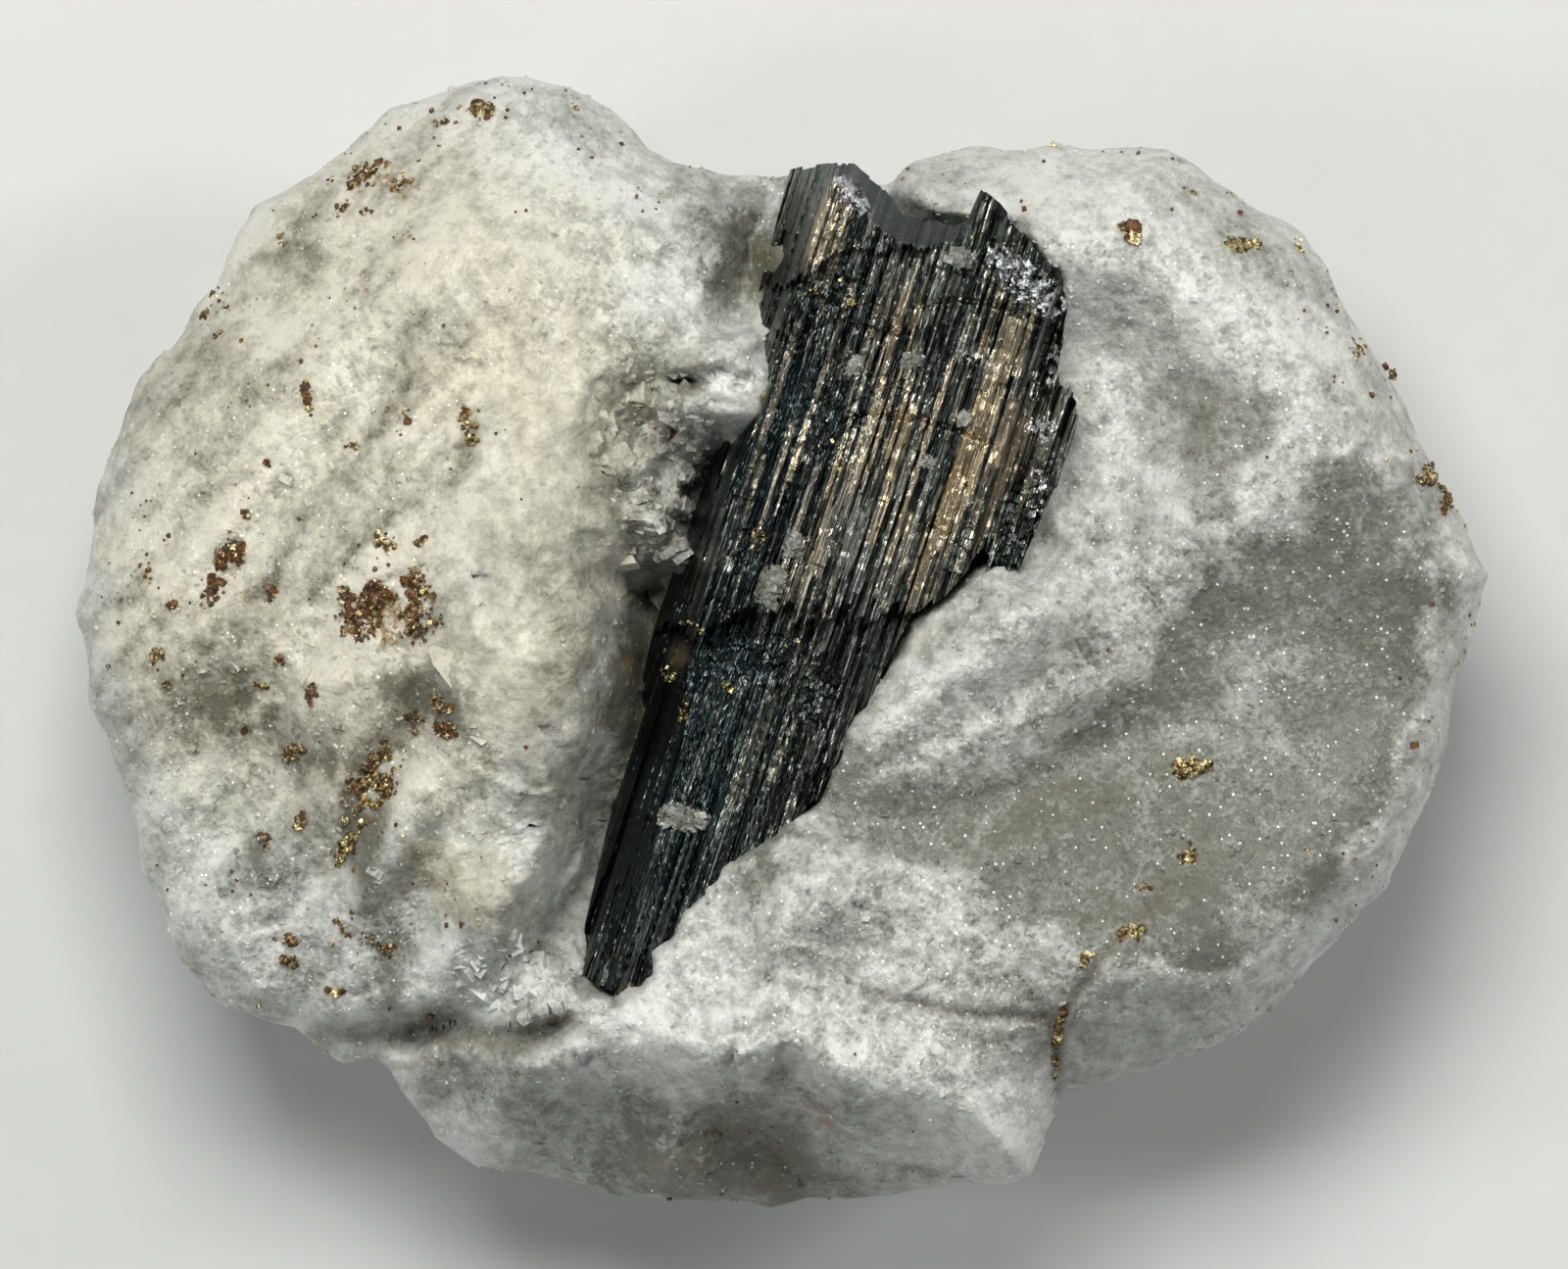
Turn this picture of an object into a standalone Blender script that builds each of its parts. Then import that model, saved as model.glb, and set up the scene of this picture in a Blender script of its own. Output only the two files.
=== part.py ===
"""Rathite on dolomite: a striated grey sulphosalt prism lying in a white sugary rock with pyrite.

The specimen lies on its back. X runs across it, Y runs up its face and Z towards the viewer.
Every size below is in millimetres; MM turns it into metres when a mesh is made.
"""
import bpy
import bmesh
import numpy as np
from mathutils import Euler, Matrix, Vector

MM = 0.001

# Dolomite block -------------------------------------------------------------------------------
# Silhouette of the block seen from the front, anticlockwise from its right-hand point.
OUTLINE = [
    (14.95, 1.4), (14.5, 2.55), (13.85, 3.4), (13.35, 4.4), (12.85, 5.35), (12.3, 6.3),
    (11.8, 7.1), (11.55, 7.9), (11.0, 8.6), (10.0, 9.2), (9.0, 9.8), (8.05, 10.4), (6.4, 10.4),
    (5.2, 10.5), (4.0, 10.4), (2.8, 10.15), (2.2, 9.7), (-0.4, 9.8), (-1.45, 9.9), (-2.3, 10.1),
    (-3.0, 10.6), (-3.7, 11.2), (-4.6, 11.75), (-5.4, 11.95), (-6.2, 11.9), (-6.9, 11.7),
    (-7.5, 11.45), (-8.3, 11.2), (-9.3, 10.35), (-10.35, 9.7), (-11.2, 9.1), (-11.9, 8.15),
    (-12.1, 7.5), (-12.65, 6.7), (-13.2, 6.05), (-13.65, 5.45), (-13.9, 4.8), (-14.25, 4.1),
    (-14.5, 3.2), (-14.65, 2.3), (-14.8, 1.5), (-14.95, 0.5), (-14.75, -0.5), (-14.7, -1.4),
    (-14.25, -2.0), (-14.05, -3.2), (-13.65, -4.5), (-13.25, -5.7), (-12.6, -7.0),
    (-11.8, -7.8), (-10.4, -8.25), (-9.9, -8.6), (-9.3, -8.9), (-8.65, -8.9), (-8.35, -9.1),
    (-7.85, -9.9), (-7.45, -10.6), (-6.6, -11.15), (-5.4, -11.35), (-4.1, -11.75),
    (-2.1, -11.9), (-0.2, -11.95), (1.7, -11.75), (2.9, -11.7), (3.75, -11.4), (4.75, -11.5),
    (5.2, -11.3), (5.45, -10.75), (5.5, -10.35), (5.9, -9.6), (6.8, -9.35), (7.9, -9.0),
    (9.1, -8.6), (10.1, -8.0), (11.0, -7.15), (12.0, -6.1), (12.8, -5.1), (13.15, -4.45),
    (13.65, -3.4), (14.0, -2.2), (14.2, -1.0), (14.5, -0.1), (14.7, 0.7),
]
# The inner cliff of the left mound, walked from the top edge down.
CLIFF = [
    (-2.2, 10.8), (-1.9, 9.2), (-1.5, 8.1), (-2.0, 7.2), (-2.9, 6.4), (-4.0, 5.5), (-4.6, 4.4),
    (-4.3, 3.2), (-4.1, 2.0), (-3.75, 0.8), (-3.85, -0.9), (-4.1, -2.8), (-4.5, -4.3),
    (-5.1, -5.3), (-5.6, -6.2), (-6.6, -7.3), (-8.2, -8.5), (-9.8, -9.4),
]
# Where the ground on the right meets the crystal and the trough, walked from the top edge down.
BANK = [
    (1.2, 11.0), (2.2, 9.9), (3.2, 9.3), (5.0, 8.8), (6.1, 7.3), (6.2, 5.0), (5.9, 3.4), (4.9, 1.5),
    (3.8, 1.0), (2.6, 0.2), (1.9, -1.1), (1.1, -2.3), (0.6, -3.3), (-0.3, -4.1), (-1.3, -4.8),
    (-2.2, -5.8), (-2.9, -7.1), (-3.6, -7.7), (-5.0, -7.9), (-7.0, -8.6), (-9.5, -10.0),
]
# Swellings (height > 0) and hollows (height < 0): centre, radii, turn in degrees, height, flat core.
LEFT_SWELLS = [
    ((-5.6, 0.3), (2.2, 6.5), 2, 0.9, 0.0),
    ((-5.9, 8.0), (3.4, 3.0), 0, 0.9, 0.0),
    ((-10.6, -3.9), (3.0, 4.6), 20, -1.5, 0.0),
    ((-7.7, -5.6), (1.2, 2.4), -25, -1.3, 0.0),
    ((-8.0, -2.2), (0.9, 2.6), -30, -0.8, 0.0),
    ((-9.3, 4.2), (1.4, 3.6), -35, -0.5, 0.0),
    ((-5.7, -5.6), (1.3, 1.6), 20, 0.9, 0.4),
]
VALLEY_SWELLS = [
    ((-1.3, 5.3), (1.9, 1.5), 15, 1.4, 0.3),
    ((-3.0, 2.3), (1.3, 2.0), 20, 1.0, 0.3),
    ((-3.1, 0.6), (0.8, 1.5), -15, -1.6, 0.0),
    ((-2.0, 5.3), (0.5, 0.9), 10, -0.5, 0.0),
    ((-0.9, 7.6), (1.1, 1.6), -10, -1.4, 0.1),
    ((-1.75, 3.1), (0.5, 1.7), -18, -1.5, 0.0),
    ((-5.7, -7.2), (2.2, 1.3), 30, 1.6, 0.2),
    ((-0.6, 9.0), (1.5, 1.9), 0, -1.0, 0.0),
]
RIGHT_SWELLS = [
    ((5.6, 9.0), (5.2, 3.0), -15, 1.6, 0.0),
    ((11.2, 5.0), (2.2, 4.8), 25, 0.7, 0.0),
    ((9.8, -1.2), (7.0, 5.6), 38, -1.8, 0.15),
    ((8.9, 4.6), (2.0, 2.8), 25, -0.6, 0.0),
    ((4.0, -0.3), (4.6, 1.3), 36, 1.0, 0.0),
    ((5.2, -2.9), (4.8, 1.5), 22, -0.9, 0.0),
    ((0.6, -5.4), (2.6, 1.7), 25, 1.1, 0.0),
    ((12.4, -4.0), (2.0, 5.5), -35, 0.4, 0.0),
    ((7.0, -6.8), (3.6, 2.0), 20, 0.9, 0.0),
    ((6.6, 4.6), (2.6, 4.6), -5, -1.9, 0.2),
    ((4.2, 9.4), (1.7, 1.2), -20, -0.6, 0.0),
]
APRON_SWELL = ((-0.8, -8.9), (5.6, 2.0), 0, 0.9, 0.0)
# Cracks: route, half width, depth.
CRACKS = [
    ([(-9.8, -8.4), (-8.2, -8.3), (-6.8, -8.2), (-5.4, -8.35), (-4.6, -8.0)], 0.35, 1.3),
    ([(1.65, -7.35), (3.6, -7.8), (5.6, -7.9)], 0.12, 0.18),
    ([(8.1, -5.0), (7.0, -6.2), (5.7, -8.0), (5.8, -9.5)], 0.14, 0.16),
]
LEFT_LEVEL = 10.2
LEFT_RISE = 3.2
LEFT_MOUND = ((-5.6, 1.6), (8.5, 11.5), -8)
VALLEY_LEVEL = 8.2
VALLEY_SHELF = 2.2
RIGHT_LEVEL = 11.2
APRON_DROP = 4.2
BED_TURN = 47.0
RIM_LEVEL = 6.2
RIM_WIDTH = 4.6
BASE_SHARE = 0.74
FLANK_ANGLE = 78.0
FLANK_BITE = 0.06
BASE_OVERRUN = 0.4
GRID = 132
FRONT_SHARE = 0.8
KEEP = 0.17

# Rathite crystal ------------------------------------------------------------------------------
# Its own axes: across (to the right) and along (towards the upper end), turned by CRYSTAL_TURN.
CRYSTAL_TURN = -18.0
CRYSTAL_OUTLINE = [
    (-2.95, 9.29), (-2.82, 7.01), (-2.67, 4.88), (-2.6, 3.6), (-2.69, -0.57), (-2.47, -3.11),
    (-2.15, -6.92), (-1.95, -7.8), (-1.8, -8.2), (-0.98, -8.3), (-0.61, -7.84), (-0.34, -6.33),
    (0.1, -5.32), (0.26, -4.83), (1.06, -3.92), (1.59, -2.88), (2.06, -0.66), (2.31, 1.27),
    (2.84, 1.99), (3.3, 3.0), (3.78, 2.77), (4.19, 2.86), (4.09, 3.81), (4.4, 5.22),
    (4.44, 6.1), (4.28, 6.59), (3.69, 7.05), (3.54, 8.2), (3.18, 8.96), (2.63, 9.32),
    (1.52, 10.05), (1.09, 10.24), (1.03, 9.56), (0.8, 9.27), (0.45, 9.33), (-0.28, 9.25),
    (-0.87, 9.71), (-1.49, 9.94), (-2.36, 9.6),
]
CRYSTAL_FLOOR = 6.8
CRYSTAL_LEVEL = 11.2
CRYSTAL_SLOPE = 0.1
BAR_COUNT = 19
BAR_STEP = 0.16
FRONT_EDGE = -2.0
# The steep left face: how far its upper edge leans in at the lower end, its outer edge and its foot.
SIDE_LEAN = 0.85
SIDE_OUTER = -3.4
SIDE_FOOT = 7.3
SIDE_FALL = -0.07
# Breaks across the crystal, each along against across, from the lower end to the upper one.
LOWER_BREAK = [
    (-3.2, -0.9), (-1.3, -0.1), (-0.8, 0.4), (-0.2, 0.57), (0.84, 0.75), (1.43, 0.94), (2.3, 1.4),
]
MIDDLE_BREAK = [
    (-3.2, 5.6), (-2.0, 6.1), (-1.4, 6.4), (-0.7, 6.8), (0.3, 7.05), (3.0, 6.5), (3.3, 6.6), (4.0, 6.9),
]
UPPER_BREAK = [(-3.2, 6.6), (-2.3, 7.0), (-1.5, 8.0), (-0.5, 8.36), (0.6, 8.9), (1.2, 8.5), (3.2, 8.45)]
END_EDGE = [
    (-3.2, 9.8), (-2.1, 9.5), (-0.93, 8.87), (-0.22, 8.62), (0.35, 8.76), (0.85, 9.1), (1.2, 8.6), (3.2, 8.55),
]
SEAT_GAP = 0.25
ABOVE_ALL = 18.0

# Pyrite: name, place, size (across, along, thickness), turn, number of grown-together cubes.
PYRITE = [
    ("pyrite_crest_grain", (-6.3, 11.15), (0.5, 0.45, 0.5), 20, 1),
    ("pyrite_upper_cluster", (-8.5, 9.7), (1.3, 0.8, 0.9), 35, 4),
    ("pyrite_west_lump", (-11.8, 1.5), (0.8, 1.35, 0.8), -15, 3),
    ("pyrite_middle_patch", (-8.2, 0.65), (1.5, 1.2, 0.8), 25, 5),
    ("pyrite_lower_chain", (-8.5, -2.9), (0.8, 1.9, 0.8), -28, 5),
    ("pyrite_crystal_foot", (-2.75, 4.2), (0.6, 0.5, 0.6), 40, 2),
    ("pyrite_round_grain", (7.25, 8.55), (0.5, 0.5, 0.5), 10, 1),
    ("pyrite_bright_block", (9.7, 8.3), (0.62, 0.34, 0.5), 8, 1),
    ("pyrite_north_rim_grain", (12.0, 6.1), (0.45, 0.4, 0.5), 50, 1),
    ("pyrite_east_rim_grain", (13.55, 3.5), (0.45, 0.45, 0.5), 15, 1),
    ("pyrite_bowl_cluster", (8.6, -2.7), (0.8, 0.55, 0.6), 12, 3),
    ("pyrite_bowl_grain", (8.45, -4.5), (0.45, 0.4, 0.5), 30, 1),
    ("pyrite_crack_grain", (7.25, -6.1), (0.5, 0.45, 0.5), 25, 1),
    ("pyrite_joint_grain", (5.75, -8.2), (0.5, 0.6, 0.6), -10, 2),
]
POCKET_SCALE = 1.14
SUNK_SHARE = 0.18


def smooth(low, high, x):
    """A soft step from 0 at low to 1 at high."""
    t = np.clip((x - low) / (high - low), 0, 1)
    return t * t * (3 - 2 * t)


def swelling(x, y, centre, radii, turn, height, core=0.0):
    """An elliptical swelling, flat inside its core."""
    angle = np.radians(turn)
    dx = x - centre[0]
    dy = y - centre[1]
    along = (dx * np.cos(angle) + dy * np.sin(angle)) / radii[0]
    across = (dy * np.cos(angle) - dx * np.sin(angle)) / radii[1]
    return height * smooth(1.0, core, np.hypot(along, across))


def east_of(x, y, route):
    """Distance from a route walked downwards, positive on its right-hand side as seen from the front."""
    best = np.full(np.shape(x), 1e9)
    sign = np.ones(np.shape(x))
    for (x0, y0), (x1, y1) in zip(route[:-1], route[1:]):
        ex = x1 - x0
        ey = y1 - y0
        t = np.clip(((x - x0) * ex + (y - y0) * ey) / (ex * ex + ey * ey), 0, 1)
        reach = np.hypot(x - x0 - t * ex, y - y0 - t * ey)
        nearer = reach < best
        best = np.where(nearer, reach, best)
        sign = np.where(nearer, np.sign((y - y0) * ex - (x - x0) * ey), sign)
    return best * sign


def hashed(ix, iy, seed):
    """A repeatable number from -1 to 1 for each whole-numbered cell."""
    h = (ix * 374761393 + iy * 668265263 + seed * 974634777) & 0xFFFFFFFF
    h = ((h ^ (h >> 13)) * 1274126177) & 0xFFFFFFFF
    h = ((h ^ (h >> 15)) * 2246822519) & 0xFFFFFFFF
    return ((h ^ (h >> 16)) & 0xFFFFFFFF) / 2147483647.5 - 1


def lumps(x, y, size, seed):
    """Smooth lumps about size across, from -1 to 1."""
    cell_x = np.floor(x / size).astype(np.int64)
    cell_y = np.floor(y / size).astype(np.int64)
    fx = x / size - cell_x
    fy = y / size - cell_y
    fx = fx * fx * (3 - 2 * fx)
    fy = fy * fy * (3 - 2 * fy)
    low = hashed(cell_x, cell_y, seed) * (1 - fx) + hashed(cell_x + 1, cell_y, seed) * fx
    high = hashed(cell_x, cell_y + 1, seed) * (1 - fx) + hashed(cell_x + 1, cell_y + 1, seed) * fx
    return low * (1 - fy) + high * fy


def plates(x, y, size, seed):
    """Tilted flat faces about size across, meeting in small steps, from about -1 to 1."""
    cell_x = np.floor(x / size).astype(np.int64)
    cell_y = np.floor(y / size).astype(np.int64)
    best = np.full(np.shape(x), 1e9)
    level = np.zeros(np.shape(x))
    for step_x in (-1, 0, 1):
        for step_y in (-1, 0, 1):
            ix = cell_x + step_x
            iy = cell_y + step_y
            from_x = x / size - ix - 0.5 - 0.42 * hashed(ix, iy, seed)
            from_y = y / size - iy - 0.5 - 0.42 * hashed(ix, iy, seed + 1)
            reach = from_x ** 2 + from_y ** 2
            face = hashed(ix, iy, seed + 2) * from_x + hashed(ix, iy, seed + 3) * from_y
            nearer = reach < best
            best = np.where(nearer, reach, best)
            level = np.where(nearer, face + 0.3 * hashed(ix, iy, seed + 4), level)
    return level


def left_mound(x, y):
    """The mound on the left: a crest along its inner side, with beds dipping across it."""
    ground = LEFT_LEVEL + swelling(x, y, *LEFT_MOUND, LEFT_RISE)
    for entry in LEFT_SWELLS:
        ground = ground + swelling(x, y, *entry)
    angle = np.radians(BED_TURN)
    along = x * np.cos(angle) + y * np.sin(angle)
    across = y * np.cos(angle) - x * np.sin(angle)
    beds = 0.36 * lumps(along / 5, across, 1.2, 11) + 0.16 * lumps(along / 4, across, 0.6, 12)
    return ground + beds * smooth(-3.5, -6.5, x + 0.15 * y) * (1 - 0.6 * smooth(1, 5, y))


def valley(x, y):
    """The trough beside the crystal, with a shelf of lumps in its upper half."""
    ground = VALLEY_LEVEL + VALLEY_SHELF * smooth(0.2, 4.2, y) * smooth(10, 7.8, y)
    for entry in VALLEY_SWELLS:
        ground = ground + swelling(x, y, *entry)
    return ground


def right_ground(x, y):
    """The right-hand side: a hump at the top, a ridge by the crystal and a wide smooth bowl."""
    ground = RIGHT_LEVEL + np.zeros(np.shape(x))
    for entry in RIGHT_SWELLS:
        ground = ground + swelling(x, y, *entry)
    return ground


def height(x, y):
    """Level of the whole front before its rim is rounded off."""
    wander = 0.35 * lumps(x, y, 1.6, 5) + 0.18 * lumps(x, y, 0.7, 6)
    beyond = east_of(x + 0.3 * wander, y, BANK)
    low = valley(x, y)
    ground = low + (right_ground(x, y) - low) * smooth(-0.75, -0.1, beyond)
    beyond = east_of(x + wander, y + 0.5 * wander, CLIFF) - 0.5 * smooth(0, 3, y)
    high = left_mound(x, y)
    ground = high + (ground - high) * smooth(-0.5, 0.85, beyond)
    ground = ground + swelling(x, y, *APRON_SWELL)
    for route, width, depth in CRACKS:
        ground = ground - depth * np.exp(-(east_of(x, y, route) / width) ** 2)
    ragged = y + 0.1 * (x + 1) + 0.9 * lumps(x, y, 1.9, 37)
    overhang = smooth(-8.6, -11.9, ragged) * smooth(-9.6, -7.0, x) * smooth(5.0, 1.5, x)
    ground = ground + 0.5 * lumps(x, y, 1.3, 38) * smooth(-7.5, -9.5, y)
    ground = ground - APRON_DROP * overhang
    ground = ground + (0.35 * lumps(x, y, 2.6, 31) + 0.15 * lumps(x, y, 1.2, 32)) * smooth(12, -2, x)
    calm = 1 - 0.55 * smooth(1.0, 0.6, np.hypot((x - 9.5) / 5.5, (y + 0.8) / 6.0))
    calm = calm * (1 - 0.5 * smooth(0, 3, x)) * (1 - (0.3 + 0.3 * smooth(1, 5, y)) * smooth(-4, -6, x))
    return ground + calm * (0.3 * plates(x, y, 1.7, 51) + 0.16 * plates(x + 0.2 * y, y, 0.8, 61))


def rim_distance(x, y):
    """Distance in from the silhouette."""
    best = np.full(np.shape(x), 1e9)
    for (x0, y0), (x1, y1) in zip(OUTLINE, OUTLINE[1:] + OUTLINE[:1]):
        ex = x1 - x0
        ey = y1 - y0
        t = np.clip(((x - x0) * ex + (y - y0) * ey) / (ex * ex + ey * ey), 0, 1)
        best = np.minimum(best, np.hypot(x - x0 - t * ex, y - y0 - t * ey))
    return best


def top_notch(x, y):
    """1 at the saddle in the top edge, where the rim is high and sharp."""
    return smooth(6, 11, y) * smooth(4, 0, np.abs(x - 0.5))


def rim_level(x, y):
    """Height of the widest line round the block."""
    level = RIM_LEVEL + 1.8 * top_notch(x, y) - 1.2 * smooth(-9.0, -11.5, y) * smooth(5.0, 2.0, x)
    return level + 0.4 * np.sin(0.9 * x) * np.sin(0.7 * y)


def front(x, y):
    """Finished level of the front, rounded down to the rim."""
    width = RIM_WIDTH - 2.6 * top_notch(x, y)
    inward = np.clip(1 - rim_distance(x, y) / width, 0, 1)
    rim = rim_level(x, y)
    return rim + (height(x, y) - rim) * np.sqrt(1 - inward ** 2.3)


def silhouette_reach(angle):
    """Distance from the middle to the silhouette in each direction."""
    corner = np.array(OUTLINE)
    ring = np.unwrap(np.arctan2(corner[:, 1], corner[:, 0]))
    turned = (angle - ring[0]) % (2 * np.pi) + ring[0]
    start = np.searchsorted(ring, turned, side="right") - 1
    p = corner[start]
    edge = corner[(start + 1) % len(corner)] - p
    return (p[:, 0] * edge[:, 1] - p[:, 1] * edge[:, 0]) / (
        np.cos(angle) * edge[:, 1] - np.sin(angle) * edge[:, 0]
    )


def round_base_reach(angle):
    """The base outline: the silhouette smoothed over a wide arc and drawn in."""
    spread = np.linspace(-0.35, 0.35, 9)
    total = sum(silhouette_reach(angle + s) for s in spread)
    return BASE_SHARE * total / len(spread)


def block_points(a, b):
    """Places of the block's grid points, for flat grid coordinates from -1 to 1."""
    ring = np.maximum(np.abs(a), np.abs(b))
    safe = np.where(ring > 0, ring, 1)
    share = np.where(np.abs(a) >= np.abs(b), b, a) / safe
    quarter = np.where(np.abs(a) >= np.abs(b), share * np.sign(a), 2 - share * np.sign(b))
    angle = quarter * np.pi / 4 + np.where(np.abs(a) >= np.abs(b), np.where(a < 0, np.pi, 0), 0)
    angle = angle + np.where((np.abs(a) < np.abs(b)) & (b < 0), np.pi, 0)
    reach = silhouette_reach(angle)
    inner = 1 - (1 - np.clip(ring / FRONT_SHARE, 0, 1)) ** 1.35
    x = reach * inner * np.cos(angle)
    y = reach * inner * np.sin(angle)
    z = front(x, y)
    fall = np.radians(FLANK_ANGLE) * np.clip((ring - FRONT_SHARE) / (1 - FRONT_SHARE), 0, 1)
    base = round_base_reach(angle)
    spread = base + (reach - base) * np.cos(fall)
    drop = np.sin(fall) / np.sin(np.radians(FLANK_ANGLE))
    rim = rim_level(reach * np.cos(angle), reach * np.sin(angle))
    down = rim - (rim + BASE_OVERRUN) * drop
    skew_x = spread * np.cos(angle) + 0.8 * down
    skew_y = spread * np.sin(angle) - 0.7 * down
    bite = 1 + 0.7 * plates(skew_x, skew_y, 4.2, 43) + 0.3 * plates(skew_x, skew_y, 1.6, 47)
    rough = 1 - FLANK_BITE * bite * smooth(0.0, 0.25, fall)
    flank = ring > FRONT_SHARE
    x = np.where(flank, spread * rough * np.cos(angle), x)
    y = np.where(flank, spread * rough * np.sin(angle), y)
    z = np.where(flank, down, z)
    return np.column_stack([x, y, z])


def move_vertices(mesh, points):
    """Puts a mesh's vertices at points given in millimetres."""
    mesh.vertices.foreach_set("co", (np.asarray(points, float) * MM).ravel())
    mesh.update()


def vertex_places(mesh):
    """The vertices of a mesh as an array."""
    flat = np.empty(len(mesh.vertices) * 3)
    mesh.vertices.foreach_get("co", flat)
    return flat.reshape(-1, 3)


def make_material(name, colour, roughness, metallic):
    material = bpy.data.materials.new(name)
    material.use_nodes = True
    shader = material.node_tree.nodes["Principled BSDF"]
    shader.inputs["Base Color"].default_value = (*colour, 1.0)
    shader.inputs["Roughness"].default_value = roughness
    shader.inputs["Metallic"].default_value = metallic
    material.diffuse_color = (*colour, 1.0)
    return material


def add_object(name, mesh, collection, material=None):
    obj = bpy.data.objects.new(name, mesh)
    collection.objects.link(obj)
    if material:
        mesh.materials.append(material)
    if collection.name == "cutters":
        obj.hide_render = True
        obj.display_type = "WIRE"
    return obj


def settle(obj):
    """Turns an object's modifiers into its own mesh."""
    view = bpy.context.evaluated_depsgraph_get()
    finished = bpy.data.meshes.new_from_object(obj.evaluated_get(view))
    obj.modifiers.clear()
    obj.data = finished


def boolean(obj, operation, other):
    modifier = obj.modifiers.new(other.name, "BOOLEAN")
    modifier.operation = operation
    modifier.solver = "EXACT"
    modifier.object = other
    settle(obj)


def grid_mesh(name, columns, rows):
    """A flat grid from -1 to 1 each way."""
    shape = bmesh.new()
    bmesh.ops.create_grid(shape, x_segments=columns, y_segments=rows, size=1.0)
    mesh = bpy.data.meshes.new(name)
    shape.to_mesh(mesh)
    shape.free()
    return mesh


def box_mesh(name, size, centre):
    shape = bmesh.new()
    bmesh.ops.create_cube(shape, size=1.0)
    bmesh.ops.scale(shape, vec=Vector(size) * MM, verts=shape.verts)
    bmesh.ops.translate(shape, vec=Vector(centre) * MM, verts=shape.verts)
    mesh = bpy.data.meshes.new(name)
    shape.to_mesh(mesh)
    shape.free()
    return mesh


def prism_mesh(name, outline, bottom, top):
    """An outline drawn upwards into a solid with flat ends."""
    shape = bmesh.new()
    ring = [shape.verts.new((x * MM, y * MM, bottom * MM)) for x, y in outline]
    face = shape.faces.new(ring)
    raised = bmesh.ops.extrude_face_region(shape, geom=[face])
    lifted = [part for part in raised["geom"] if isinstance(part, bmesh.types.BMVert)]
    bmesh.ops.translate(shape, vec=(0, 0, (top - bottom) * MM), verts=lifted)
    bmesh.ops.recalc_face_normals(shape, faces=shape.faces)
    mesh = bpy.data.meshes.new(name)
    shape.to_mesh(mesh)
    shape.free()
    return mesh


def close_bottom(mesh, depth):
    """Draws the open edge of a sheet straight down to one level and closes it."""
    shape = bmesh.new()
    shape.from_mesh(mesh)
    edge = [e for e in shape.edges if e.is_boundary]
    drawn = bmesh.ops.extrude_edge_only(shape, edges=edge)["geom"]
    for part in drawn:
        if isinstance(part, bmesh.types.BMVert):
            part.co.z = depth * MM
    bmesh.ops.edgenet_fill(shape, edges=[e for e in shape.edges if e.is_boundary])
    bmesh.ops.recalc_face_normals(shape, faces=shape.faces)
    shape.to_mesh(mesh)
    shape.free()


def make_block(collection, cutters, material):
    """The dolomite: a grid wrapped over the front and flanks, thinned, and cut flat underneath."""
    mesh = grid_mesh("dolomite_matrix", GRID, GRID)
    flat = vertex_places(mesh)
    move_vertices(mesh, block_points(flat[:, 0], flat[:, 1]))
    shape = bmesh.new()
    shape.from_mesh(mesh)
    bmesh.ops.edgenet_fill(shape, edges=[e for e in shape.edges if e.is_boundary])
    bmesh.ops.triangulate(shape, faces=shape.faces)
    bmesh.ops.recalc_face_normals(shape, faces=shape.faces)
    shape.to_mesh(mesh)
    shape.free()
    block = add_object("dolomite_matrix", mesh, collection, material)
    thin = block.modifiers.new("fewer facets", "DECIMATE")
    thin.ratio = KEEP
    settle(block)
    below = add_object("below_base", box_mesh("below_base", (40, 40, 4), (0, 0, -2)), cutters)
    boolean(block, "DIFFERENCE", below)
    return block


def bar_edges():
    """Places across the crystal where one lengthwise ridge gives way to the next."""
    even = np.linspace(FRONT_EDGE, 4.6, BAR_COUNT + 1)
    nudge = 0.3 * (even[1] - even[0]) * hashed(np.arange(BAR_COUNT + 1), 0 * np.arange(BAR_COUNT + 1), 71)
    nudge[0] = 0
    return even + nudge


def break_line(route, across, jag):
    """A break's place along the crystal for each place across it."""
    points = np.array(route)
    return np.interp(across, points[:, 0], points[:, 1]) + jag


def crystal_grid():
    """Columns of the crystal's upper side: places across and the ridge step on each."""
    edges = bar_edges()
    step = BAR_STEP * hashed(np.arange(BAR_COUNT), 1 + 0 * np.arange(BAR_COUNT), 72)
    across = [SIDE_OUTER, FRONT_EDGE - 0.01]
    rise = [0.0, 0.0]
    bar = [0, 0]
    for k in range(BAR_COUNT):
        width = edges[k + 1] - edges[k]
        across += [edges[k] + 0.01, edges[k] + 0.35 * width, edges[k + 1] - 0.01]
        rise += [step[k] - 0.07, step[k] + 0.06, step[k] - 0.09]
        bar += [k, k, k]
    return np.array(across), np.array(rise), np.array(bar)


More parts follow.
